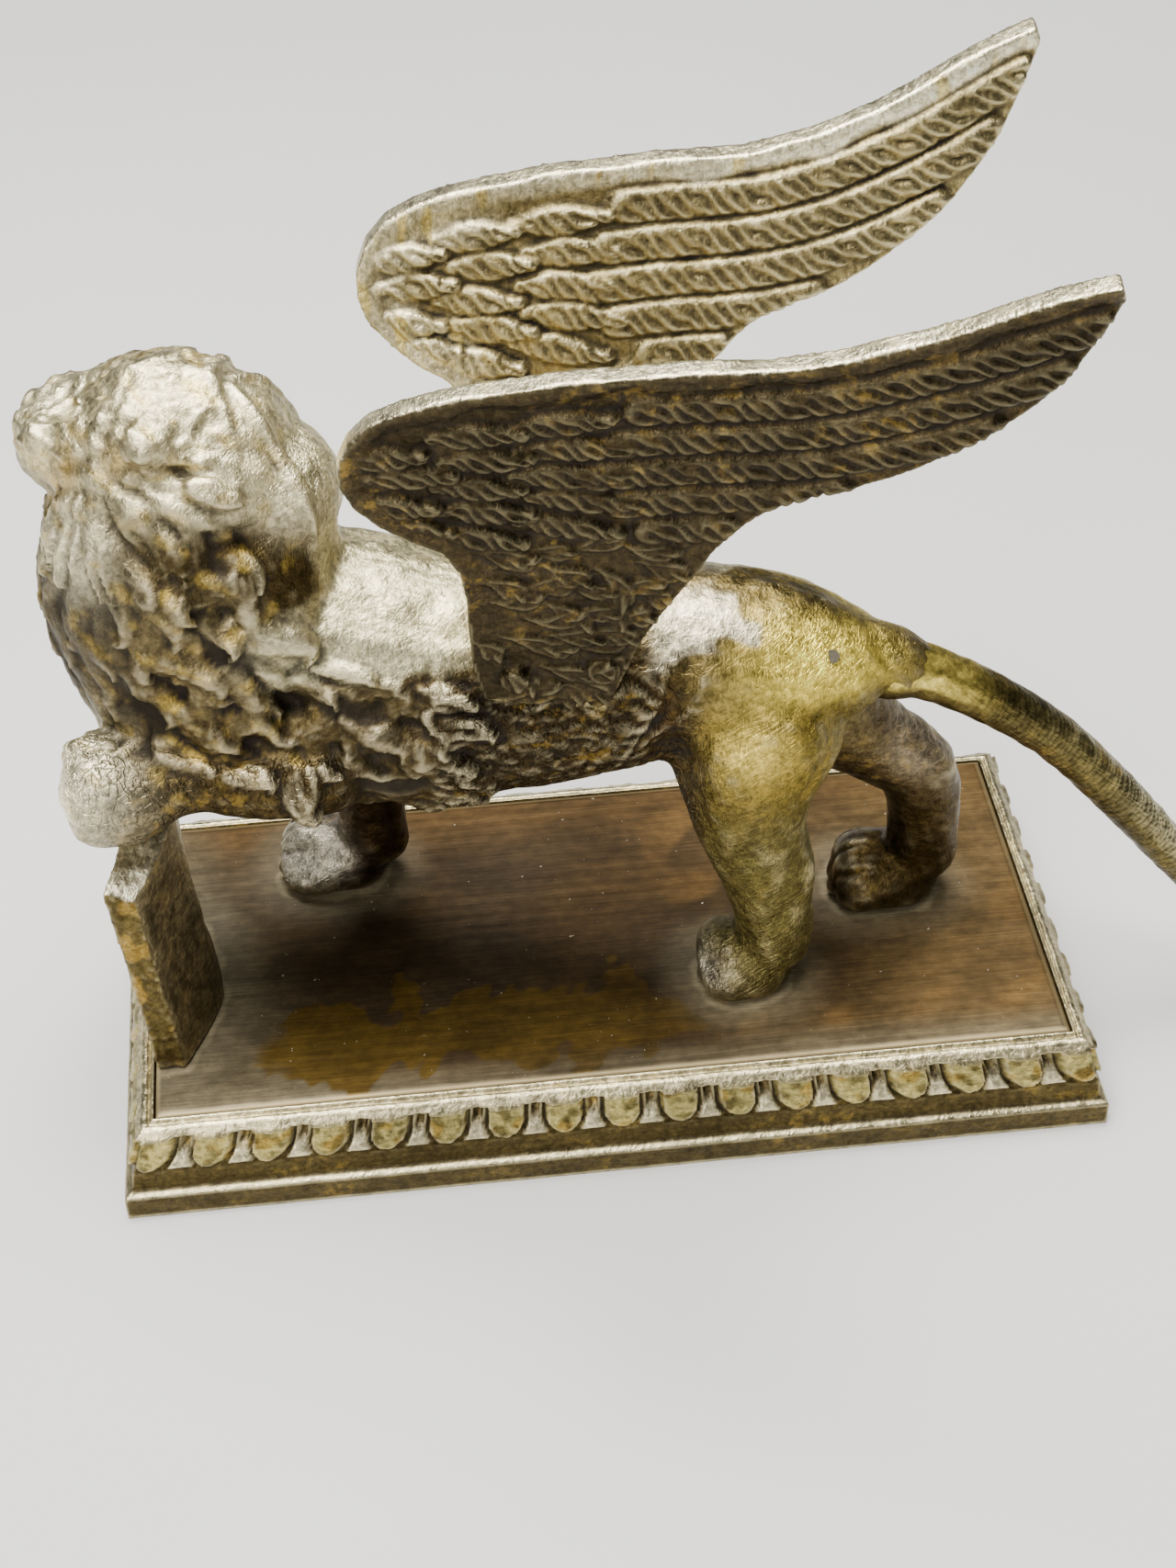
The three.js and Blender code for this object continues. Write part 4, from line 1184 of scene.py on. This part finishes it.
def make_book():
    surface = cast("book", [], FINE_VOXEL)
    surface.relax(3)
    p = surface.points
    n = surface.normals
    x, y, z = p.T
    left = (BOOK_SPINE[1] - y) / BOOK_SPAN
    end = smoothstep(0.6, 0.9, -n[:, 1]) * smoothstep(0.85, 0.97, left)
    far_end = smoothstep(0.6, 0.9, n[:, 1]) * smoothstep(-0.85, -0.97, left)
    cover = smoothstep(0.5, 0.9, n[:, 0])
    pages = smoothstep(0.5, 0.9, -n[:, 0])
    top = smoothstep(0.5, 0.85, n[:, 2])
    ridges = 0.14 * np.abs(np.sin(math.pi * (z + 0.4 * x + 1.6 * waves(p, 8, 51)) / 2.4)) ** 0.8
    ends = end + far_end
    surface.push(ends * ridges)
    middle = np.clip(1 - ((np.abs(left) - 0.5) / 0.42) ** 2, 0, 1)
    surface.push(-0.55 * cover * middle * smoothstep(18, 24, z) * smoothstep(50, 44, z))
    lines = 0.12 * np.sin(2 * math.pi * z / 1.9) * smoothstep(20, 24, z) * smoothstep(48, 44, z)
    margin = smoothstep(0.08, 0.2, np.abs(left)) * smoothstep(0.95, 0.85, np.abs(left))
    surface.push(pages * lines * margin)
    surface.push(top * 0.03 * np.sin(2 * math.pi * (x + 0.4 * y) / 1.4))
    surface.push(0.07 * waves(p, 5, 52) + 0.10 * ends * waves(p, 2.2, 53))
    peak, hollow = wear(surface, 2, 10)
    paint = Paint(p, "#8a7b58")
    paint.lay(ends * 0.9, "#584b26")
    paint.lay(ends * smoothstep(0.5, 1.0, waves(p, 4, 54)), "#94793a")
    paint.lay(cover * 0.8, "#968764")
    paint.lay(cover * smoothstep(0.55, 0.8, np.abs(np.abs(left) - 0.5) / 0.5) * 0.5, "#b0a27c")
    # Painted highlight: the top face is paler.
    paint.lay(top, "#e8dfc2")
    paint.lay(smoothstep(18, 15.8, z) * 0.7, "#a59b80")
    material = bronze("book_bronze", ((2600, 400, 2600), (0, 0, 0.4)), worn="#c9ba8c", rough=0.44)
    shown("book_casting", surface, row_from_lion, "book", material, {
        "tint": paint.colours, "peak": peak, "hollow": hollow * 0.9, "file": 0.25 + 0.7 * top,
    })
    return surface


# Plinth

def frame_outline():
    """The closed profile of the frame, as rows of the inset from the foot's edge and the height."""
    # Each corner has its inset, its height, and how fine the rings that follow it are
    ring = [
        (0.0, 0.0, 1.2), (0.0, FOOT_HEIGHT - 0.25, 0.3), (0.25, FOOT_HEIGHT, 0.3),
        (1.0, FOOT_HEIGHT + 0.35, 0.4), (1.25, 5.2, 0.5), (1.5, BAND_BOTTOM - 0.7, 0.4),
        (BAND_INSET, BAND_BOTTOM, 0.28), (BAND_INSET + BAND_LEAN, BAND_TOP, 0.28),
        (3.2, 14.25, 0.2), (3.5, 14.95, 0.25), (4.1, 15.3, 0.25), (4.55, 15.3, 0.2),
        (4.8, 14.95, 0.15), (4.95, 15.1, 0.15), (5.2, 15.55, 0.2),
        (5.4, DECK_HEIGHT, 0.2), (DECK_INSET - GAP, DECK_HEIGHT - 0.1, 0.3),
    ]
    shelf = DECK_HEIGHT - DECK_THICKNESS - GAP
    inside = [
        (DECK_INSET - GAP, shelf, 2.5), (DECK_INSET + LEDGE, shelf, 2.5), (DECK_INSET + LEDGE, 10.4, 2.5),
        (BAND_INSET + WALL, BAND_BOTTOM - 1, 2.5), (WALL + 0.6, 0.0, 2.5), (0.0, 0.0, 2.5),
    ]
    points = ring + inside
    rings = []
    for (a, za, _), (b, zb, fineness) in zip(points, points[1:]):
        count = max(1, int(math.hypot(b - a, zb - za) / fineness))
        for i in range(count):
            share = i / count
            rings.append((a + (b - a) * share, za + (zb - za) * share))
    return np.array(rings)


FRAME_STEP = 0.34


def egg_and_dart(along, height, pitch):
    """How far the ornament stands out of the band, and masks of its eggs and its darts."""
    cell = (along / pitch + 0.5) % 1.0 - 0.5
    from_dart = np.abs(cell) * pitch
    from_egg = pitch / 2 - from_dart
    rise = (height - BAND_BOTTOM) / (BAND_TOP - BAND_BOTTOM)
    inside = smoothstep(-0.04, 0.03, rise) * smoothstep(1.1, 1.0, rise)
    half = 2.9 * np.clip(1 - (np.clip(0.55 - rise, 0, 1) / 0.56) ** 2.4, 0.0, 1) ** 0.6
    reach = from_egg / np.maximum(half, 0.05)
    egg = smoothstep(1.03, 0.9, reach)
    dome = np.sqrt(np.clip(1 - 0.6 * np.clip(reach, 0, 1) ** 2, 0, 1))
    outline = np.exp(-((reach - 1.08) / 0.08) ** 2)
    bell = 0.7 + 2.0 * np.clip(0.7 - rise, 0, 1) ** 1.7
    dart = smoothstep(bell + 0.2, bell - 0.15, from_dart)
    flare = 0.7 * smoothstep(0.65, 0.1, rise) - 0.75 * smoothstep(0.5, 0.85, rise)
    rib = np.exp(-((from_dart - bell - 0.2) / 0.22) ** 2) * smoothstep(0.2, 0.5, rise)
    eggs = egg * (0.3 + 0.7 * dome) - 0.45 * outline * (1 - dart)
    out = inside * (eggs + dart * flare + 0.3 * rib * (1 - egg))
    return out, inside * egg, inside * dart, from_dart


def make_frame():
    """The hollow frame with its egg-and-dart band: rings of the profile, taken round four sides."""
    rings = frame_outline()
    half = np.array([PLINTH_LENGTH / 2, PLINTH_WIDTH / 2])
    columns = []
    for k in range(4):
        length = PLINTH_LENGTH if k % 2 == 0 else PLINTH_WIDTH
        count = int(length / FRAME_STEP)
        columns += [(k, i / count, length) for i in range(count)]
    side, share, length = np.array(columns, float).T
    side = side.astype(int)
    along = (share - 0.5) * length
    usable = length - 2 * BAND_INSET - BAND_LEAN
    pitch = usable / np.where(side % 2 == 0, DARTS_ALONG, DARTS_ACROSS)
    corners = np.array([(-1, -1), (1, -1), (1, 1), (-1, 1)], float)
    start, finish = corners[side], corners[(side + 1) % 4]
    wander = 0.05 * np.sin(along / 3.1 + side) + 0.02 * np.sin(along / 1.27 + 2 * side)
    blend = smoothstep(0.0, 1.2, np.minimum(share, 1 - share) * length)
    points, eggs, darts = [], [], []
    for inset, height in rings:
        heights = np.full(len(along), height)
        out, egg, dart, from_dart = egg_and_dart(along + pitch / 2, heights, pitch)
        on_band = BAND_BOTTOM - 0.4 < height < BAND_TOP + 0.2
        on_band = on_band and inset < BAND_INSET + BAND_LEAN + 0.05
        if not on_band:
            out, egg, dart = 0 * out, 0 * egg, 0 * dart
        rim = 0.0
        if BAND_TOP - 0.5 < height < BAND_TOP + 0.6 and inset < 3.6:
            arch = BAND_TOP - 0.3 + 0.5 * np.exp(-(from_dart / 1.3) ** 2)
            rim = 0.4 * smoothstep(arch - 0.15, arch + 0.2, heights)
        bead = wander * (1.0 if BAND_TOP < height and inset < 4.6 else 0.35 if inset < 5.3 else 0.0)
        depth = inset - (out + rim + bead) * (blend if on_band else 1.0)
        corner = half - depth[:, None]
        a, b = start * corner, finish * corner
        flat = a + (b - a) * share[:, None]
        lifted = heights + (0.03 * np.sin(along / 2.3) if BAND_TOP < height and inset < 4.7 else 0)
        points.append(np.column_stack([flat, lifted]))
        eggs.append(egg)
        darts.append(dart)
    grid = np.arange(len(rings) * len(columns)).reshape(len(rings), len(columns))
    below, above = grid, np.roll(grid, -1, axis=0)
    faces = np.stack([below, np.roll(below, -1, axis=1), np.roll(above, -1, axis=1), above], axis=2)
    surface = Surface(np.concatenate(points), faces.reshape(-1, 4))
    p = surface.points
    egg, dart = np.concatenate(eggs), np.concatenate(darts)
    height = p[:, 2]
    outer = (half - np.abs(p[:, :2])).min(axis=1) < DECK_INSET - GAP - 0.05
    surface.push(outer * (0.02 * waves(p, 3, 61) + 0.06 * egg * waves(p, 1.8, 62)))
    peak, hollow = wear(surface, 2, 8)
    # nose is the foot's top edge: it joins the worn peaks, and below it is painted pale as a highlight.
    nose = smoothstep(0.35, 0.0, np.abs(height - FOOT_HEIGHT)) * outer
    foot_edge = smoothstep(0.5, 0.0, height) * outer
    peak = np.clip(peak + 0.8 * nose + 0.5 * foot_edge, 0, 1) * outer
    up = surface.normals[:, 2]
    rise = (height - BAND_BOTTOM) / (BAND_TOP - BAND_BOTTOM)
    paint = Paint(p, "#4d4226")
    # Painted highlight on the top of the moulding, above the band.
    paint.lay(smoothstep(BAND_TOP - 0.1, BAND_TOP + 0.4, height) * outer, "#cbbf98")
    paint.lay(egg * 0.9, "#aca064")
    paint.lay(egg * smoothstep(0.3, 1.0, waves(p, 3.6, 63)), "#9c8442")
    paint.lay(egg * smoothstep(0.1, 0.9, waves(p, 2.8, 64)) * 0.7, "#463a20")
    # Darts: painted shade under their overhung tops, and a painted highlight where their foot flares out
    # and faces up.
    paint.lay(dart, "#5b4f33")
    paint.lay(dart * smoothstep(0.7, 0.25, rise) * 1.2, "#d2c7a2")
    # Painted highlight on the foot's top edge and on the ledge that faces up.
    paint.lay(nose, "#cfc4a0")
    paint.lay(smoothstep(0.6, 0.95, up) * smoothstep(5.4, 4.6, height) * outer, "#b9ad86")
    hollow = np.where(outer, np.clip(hollow - 0.4 * dart, 0, 1), 0.35)
    material = bronze("moulding_bronze", ((200, 200, 2400), (0, 0, 0)), worn="#d5c99f",
                      worn_share=0.8, rough=0.34)
    shown("plinth_moulding", surface, row_from_plinth, "plinth_frame", material, {
        "tint": paint.colours, "peak": peak, "hollow": hollow, "file": np.full(len(p), 0.3),
    })
    return material


def make_lugs(material):
    """The corner lugs under the deck, each bored for its screw."""
    top = DECK_HEIGHT - DECK_THICKNESS - GAP
    inset = DECK_INSET + LEDGE + DECK_SCREW_INSET
    bore, sides = 1.3, 32
    for k, (sx, sy) in enumerate([(-1, -1), (-1, 1), (1, -1), (1, 1)]):
        x, y = sx * (PLINTH_LENGTH / 2 - inset), sy * (PLINTH_WIDTH / 2 - inset)
        rings = []
        for radius, square, z in [
            (bore, False, top), (LUG / 2 - 0.3, True, top), (LUG / 2, True, top - 0.4),
            (LUG / 2, True, top - LUG_HEIGHT + 0.4), (LUG / 2 - 0.4, True, top - LUG_HEIGHT),
            (bore + 0.3, False, top - LUG_HEIGHT), (bore, False, top - LUG_HEIGHT + 0.3),
        ]:
            turn = 2 * math.pi * (np.arange(sides) + 0.5) / sides
            c, s = np.cos(turn), np.sin(turn)
            grow = 1 / np.maximum(np.abs(c), np.abs(s)) if square else np.ones(sides)
            flat = [x + radius * c * grow, y + radius * s * grow]
            rings.append(np.column_stack([*flat, np.full(sides, z)]))
        points = np.concatenate(rings)
        grid = np.arange(len(points)).reshape(len(rings), sides)
        after = np.roll(grid, -1, axis=0)
        faces = np.stack([grid, after, np.roll(after, -1, axis=1), np.roll(grid, -1, axis=1)], axis=2)
        surface = Surface(points, faces.reshape(-1, 4))
        blank = np.zeros(len(points))
        shown(f"plinth_lug_{k + 1}", surface, row_from_plinth, "plinth_frame", material, {
            "tint": Paint(points, "#6a5c3a").colours, "peak": blank + 0.1, "hollow": blank + 0.3,
            "file": blank + 0.4,
        })


def contact_points(surface):
    """Where the lion or the book stands on the deck: its points just above it, in plan."""
    p = plinth_from_row(row_from_lion(surface.points))
    low = p[(p[:, 2] < DECK_HEIGHT + 1.2) & (p[:, 2] > DECK_HEIGHT - 0.5)]
    return low[:, :2]


def distance_to(points, targets, cell=16.0):
    """The distance in plan from each point to the nearest target, up to a cell's width."""
    tree = KDTree(len(targets))
    for i, (x, y) in enumerate(targets):
        tree.insert((x, y, 0), i)
    tree.balance()
    found = np.full(len(points), cell)
    for i, (x, y, _) in enumerate(points):
        found[i] = min(cell, tree.find((x, y, 0))[2])
    return found


def make_deck(feet):
    """The brushed plate, with the pale residue that rings the paws and the book."""
    half_x, half_y = PLINTH_LENGTH / 2 - DECK_INSET, PLINTH_WIDTH / 2 - DECK_INSET
    bottom = DECK_HEIGHT - DECK_THICKNESS
    count_x, count_y = 340, 156
    u, v = np.meshgrid(np.linspace(-1, 1, count_x), np.linspace(-1, 1, count_y), indexing="ij")
    x, y = u * half_x, v * half_y
    rim = np.minimum(half_x - np.abs(x), half_y - np.abs(y))
    z = DECK_HEIGHT - 0.25 * (1 - smoothstep(0, 0.9, rim))
    top = np.column_stack([x.ravel(), y.ravel(), z.ravel()])
    low = top.copy()
    low[:, 2] = bottom
    grid = np.arange(count_x * count_y).reshape(count_x, count_y)
    faces = np.stack([grid[:-1, :-1], grid[1:, :-1], grid[1:, 1:], grid[:-1, 1:]], axis=2)
    faces = faces.reshape(-1, 4)
    border = np.concatenate([grid[:, 0], grid[-1, 1:], grid[-2::-1, -1], grid[0, -2:0:-1]])
    after = np.roll(border, -1)
    count = len(top)
    walls = np.stack([border, border + count, after + count, after], axis=1)
    surface = Surface(
        np.concatenate([top, low]), np.concatenate([faces, faces[:, ::-1] + count, walls]))
    p = surface.points
    flat = p * [1, 1, 0]
    is_top = p[:, 2] > DECK_HEIGHT - 0.3
    away = distance_to(p, feet)
    halo = smoothstep(1.5, 0.5, away + 0.35 * waves(flat, 6, 78)) * is_top
    haze = smoothstep(9, 0, away) * is_top
    surface.points[:, 2] += is_top * 0.02 * waves(p * [0.3, 3, 1], 9, 71)
    surface.find_normals()
    stain_field = p[:, 1] + 16.5 + 3.0 * waves(flat, 15, 72) + 1.3 * waves(flat, 5, 73)
    stain = smoothstep(7.4, 6.8, np.abs(stain_field + 3))
    stain = stain * smoothstep(-54, -51, p[:, 0] + 2 * waves(flat, 9, 74))
    stain = stain * smoothstep(14, 10, p[:, 0] + 4 * waves(flat, 11, 75)) * is_top
    paint = Paint(p, "#3b2f1e")
    warm = 0.5 + 0.5 * waves(flat, 34, 76)
    paint.lay(warm * 0.8, "#44331b")
    paint.lay(smoothstep(10, 60, p[:, 0]) * 0.7, "#6c5734")
    paint.lay(smoothstep(15, 30, p[:, 1]) * 0.6, "#5b4423")
    warm_spots = smoothstep(0.5, 1.1, waves(flat, 14, 77)) * smoothstep(0, 20, p[:, 0])
    paint.lay(warm_spots * 0.35, "#7a5c30")
    paint.lay(haze * 0.6, "#6f664f")
    # Paler towards the left end: a haze of residue and a painted sheen.
    paint.lay(smoothstep(-44, -60, p[:, 0] + 0.4 * p[:, 1]) * 0.7, "#625a46")
    paint.lay(smoothstep(-24, -30, p[:, 1]) * 0.6, "#6f6650")
    fading = smoothstep(25, -45, p[:, 0])
    paint.lay(stain * (0.55 + 0.4 * fading), "#584416")
    paint.lay(halo * 0.6, "#8f8468")
    paint.lay(1 - is_top, "#4a3a26")
    rim = np.minimum(half_x - np.abs(p[:, 0]), half_y - np.abs(p[:, 1]))
    shown("deck_plate_casting", surface, row_from_plinth, "deck_plate", deck_bronze(), {
        "tint": paint.colours, "stain": stain, "peak": smoothstep(0.8, 0.1, rim) * is_top,
        "haze": np.clip(haze + halo, 0, 1),
    })


def deck_bronze():
    """Brushed along its length, hazed and stained with old lacquer."""
    n = Nodes("deck_bronze")
    tint = n.attribute("tint", colour=True)
    stain, peak, haze = (n.attribute(key) for key in ("stain", "peak", "haze"))
    brushed = n.noise(n.place((110, 2800, 2800)), 4.0, 0.65)
    streaks = n.noise(n.place((40, 700, 700)), 4.0, 0.6)
    clouds = n.noise(n.place((60, 90, 90)), 5.0, 0.62, 0.5)
    mottle = n.noise(n.place((420, 520, 520)), 4.0, 0.65)
    specks = n.noise(n.place(1100), 2.0, 0.6)
    base = n.shaded(tint, n.product(
        n.span(streaks, 0.25, 0.75, 0.93, 1.07), n.span(clouds, 0.25, 0.75, 0.7, 1.3),
        n.span(brushed, 0.3, 0.7, 0.78, 1.22), n.span(mottle, 0.3, 0.7, 0.82, 1.2)))
    base = n.mix(n.math("MULTIPLY", peak, 0.6), base, colour("#b9a67a"))
    dots = n.span(specks, 0.73, 0.78)
    base = n.mix(n.math("MULTIPLY", dots, 0.7), base, colour("#c8bfa8"))
    n.link(base, n.shader.inputs["Base Color"])
    metal = n.math("SUBTRACT", 0.75, n.math("MULTIPLY", dots, 0.5))
    n.link(n.math("SUBTRACT", metal, n.math("MULTIPLY", haze, 0.3)), n.shader.inputs["Metallic"])
    rough = n.span(clouds, 0.2, 0.8, 0.46, 0.56)
    rough = n.math("SUBTRACT", rough, n.math("MULTIPLY", stain, 0.06))
    n.link(n.math("ADD", rough, n.math("MULTIPLY", haze, 0.1)), n.shader.inputs["Roughness"])
    normal = n.bump(brushed, 0.00005, 0.5)
    normal = n.bump(streaks, 0.00005, 0.3, normal)
    normal = n.bump(dots, 0.0002, 0.5, normal)
    n.link(normal, n.shader.inputs["Normal"])
    return n.material


# Fasteners keep their CAD mesh

def plain_metal(name, code, other, rough, turned_scale):
    n = Nodes(name)
    clouds = n.noise(n.place(240), 4.0, 0.6)
    spots = n.noise(n.place(1500), 3.0, 0.65)
    turned_marks = n.noise(n.place(turned_scale), 2.0, 0.6)
    base = n.mix(n.span(clouds, 0.3, 0.7), colour(code), colour(other))
    base = n.mix(n.span(spots, 0.62, 0.72), base, colour("#3a2c18"))
    n.link(base, n.shader.inputs["Base Color"])
    n.link(n.span(clouds, 0.2, 0.8, rough - 0.08, rough + 0.1), n.shader.inputs["Roughness"])
    n.shader.inputs["Metallic"].default_value = 1.0
    normal = n.bump(turned_marks, 0.00005, 0.6)
    normal = n.bump(spots, 0.00006, 0.5, normal)
    n.link(normal, n.shader.inputs["Normal"])
    return n.material


def dress_fasteners():
    pins = plain_metal("pin_bronze", "#5c5036", "#7a6c4a", 0.42, (2600, 2600, 900))
    tail_pin = plain_metal("tail_pin_nickel", "#8d8778", "#6d6656", 0.42, (2600, 2600, 900))
    steel = plain_metal("screw_steel", "#8d8d88", "#6f6d66", 0.32, (900, 900, 3200))
    for name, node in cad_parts.items():
        if "tail_pin" in name:
            material = tail_pin
        elif "pin" in name:
            material = pins
        elif "screw" in name or "washer" in name:
            material = steel
        else:
            continue
        node.data.materials.clear()
        node.data.materials.append(material)


# Stage

CAMERA_PLACE = (-29.9, -281.8, 302.4)
CAMERA_TURN = 0.103
CAMERA_FALL = 0.735
CAMERA_ROLL = -0.017
CAMERA_LENS = 58.11


def make_camera():
    data = bpy.data.cameras.new("camera")
    data.lens = CAMERA_LENS
    camera = bpy.data.objects.new("camera", data)
    bpy.context.collection.objects.link(camera)
    a, e, roll = CAMERA_TURN, CAMERA_FALL, CAMERA_ROLL
    ahead = Vector((math.sin(a) * math.cos(e), math.cos(a) * math.cos(e), -math.sin(e)))
    right = ahead.cross(Vector((0, 0, 1))).normalized()
    up = right.cross(ahead)
    level = right * math.cos(roll) + up * math.sin(roll)
    above = up * math.cos(roll) - right * math.sin(roll)
    turn = Matrix((level, above, -ahead)).transposed().to_4x4()
    place = (np.array(CAMERA_PLACE) + PLINTH_CENTRE) * MM
    camera.matrix_world = Matrix.Translation(Vector(place)) @ turn
    data.clip_start = 0.01
    data.clip_end = 10
    bpy.context.scene.camera = camera


def make_light(name, place, aim, size, watts, tone):
    data = bpy.data.lights.new(name, "AREA")
    data.shape = "RECTANGLE"
    data.size, data.size_y = size
    data.energy = watts
    data.color = tone
    light = bpy.data.objects.new(name, data)
    bpy.context.collection.objects.link(light)
    light.location = place
    light.rotation_euler = (Vector(aim) - Vector(place)).to_track_quat("-Z", "Y").to_euler()


def make_stage():
    bpy.ops.mesh.primitive_plane_add(size=4)
    floor = bpy.context.object
    floor.name = "floor"
    n = Nodes("pale_floor")
    clouds = n.noise(n.place(9), 3.0, 0.5)
    pale = n.mix(clouds, (0.58, 0.58, 0.57, 1), (0.64, 0.64, 0.63, 1))
    n.link(pale, n.shader.inputs["Base Color"])
    n.shader.inputs["Roughness"].default_value = 0.7
    floor.data.materials.append(n.material)
    world = bpy.data.worlds.new("studio")
    bpy.context.scene.world = world
    world.use_nodes = True
    background = world.node_tree.nodes["Background"]
    background.inputs["Color"].default_value = (0.82, 0.82, 0.8, 1)
    background.inputs["Strength"].default_value = 0.18
    make_light("overhead", (-0.10, 0.06, 0.80), (0, 0, 0.08), (0.6, 0.45), 21, (1.0, 0.98, 0.93))
    make_light("front", (-0.45, -0.70, 0.6), (0, 0, 0.07), (0.5, 0.5), 6.5, (1.0, 0.98, 0.94))


lion_surface = make_lion()
make_wing("wing_left", LEFT)
make_wing("wing_right", RIGHT)
make_tail()
book_surface = make_book()
make_lugs(make_frame())
make_deck(np.concatenate([contact_points(lion_surface), contact_points(book_surface)]))
dress_fasteners()
make_stage()
make_camera()
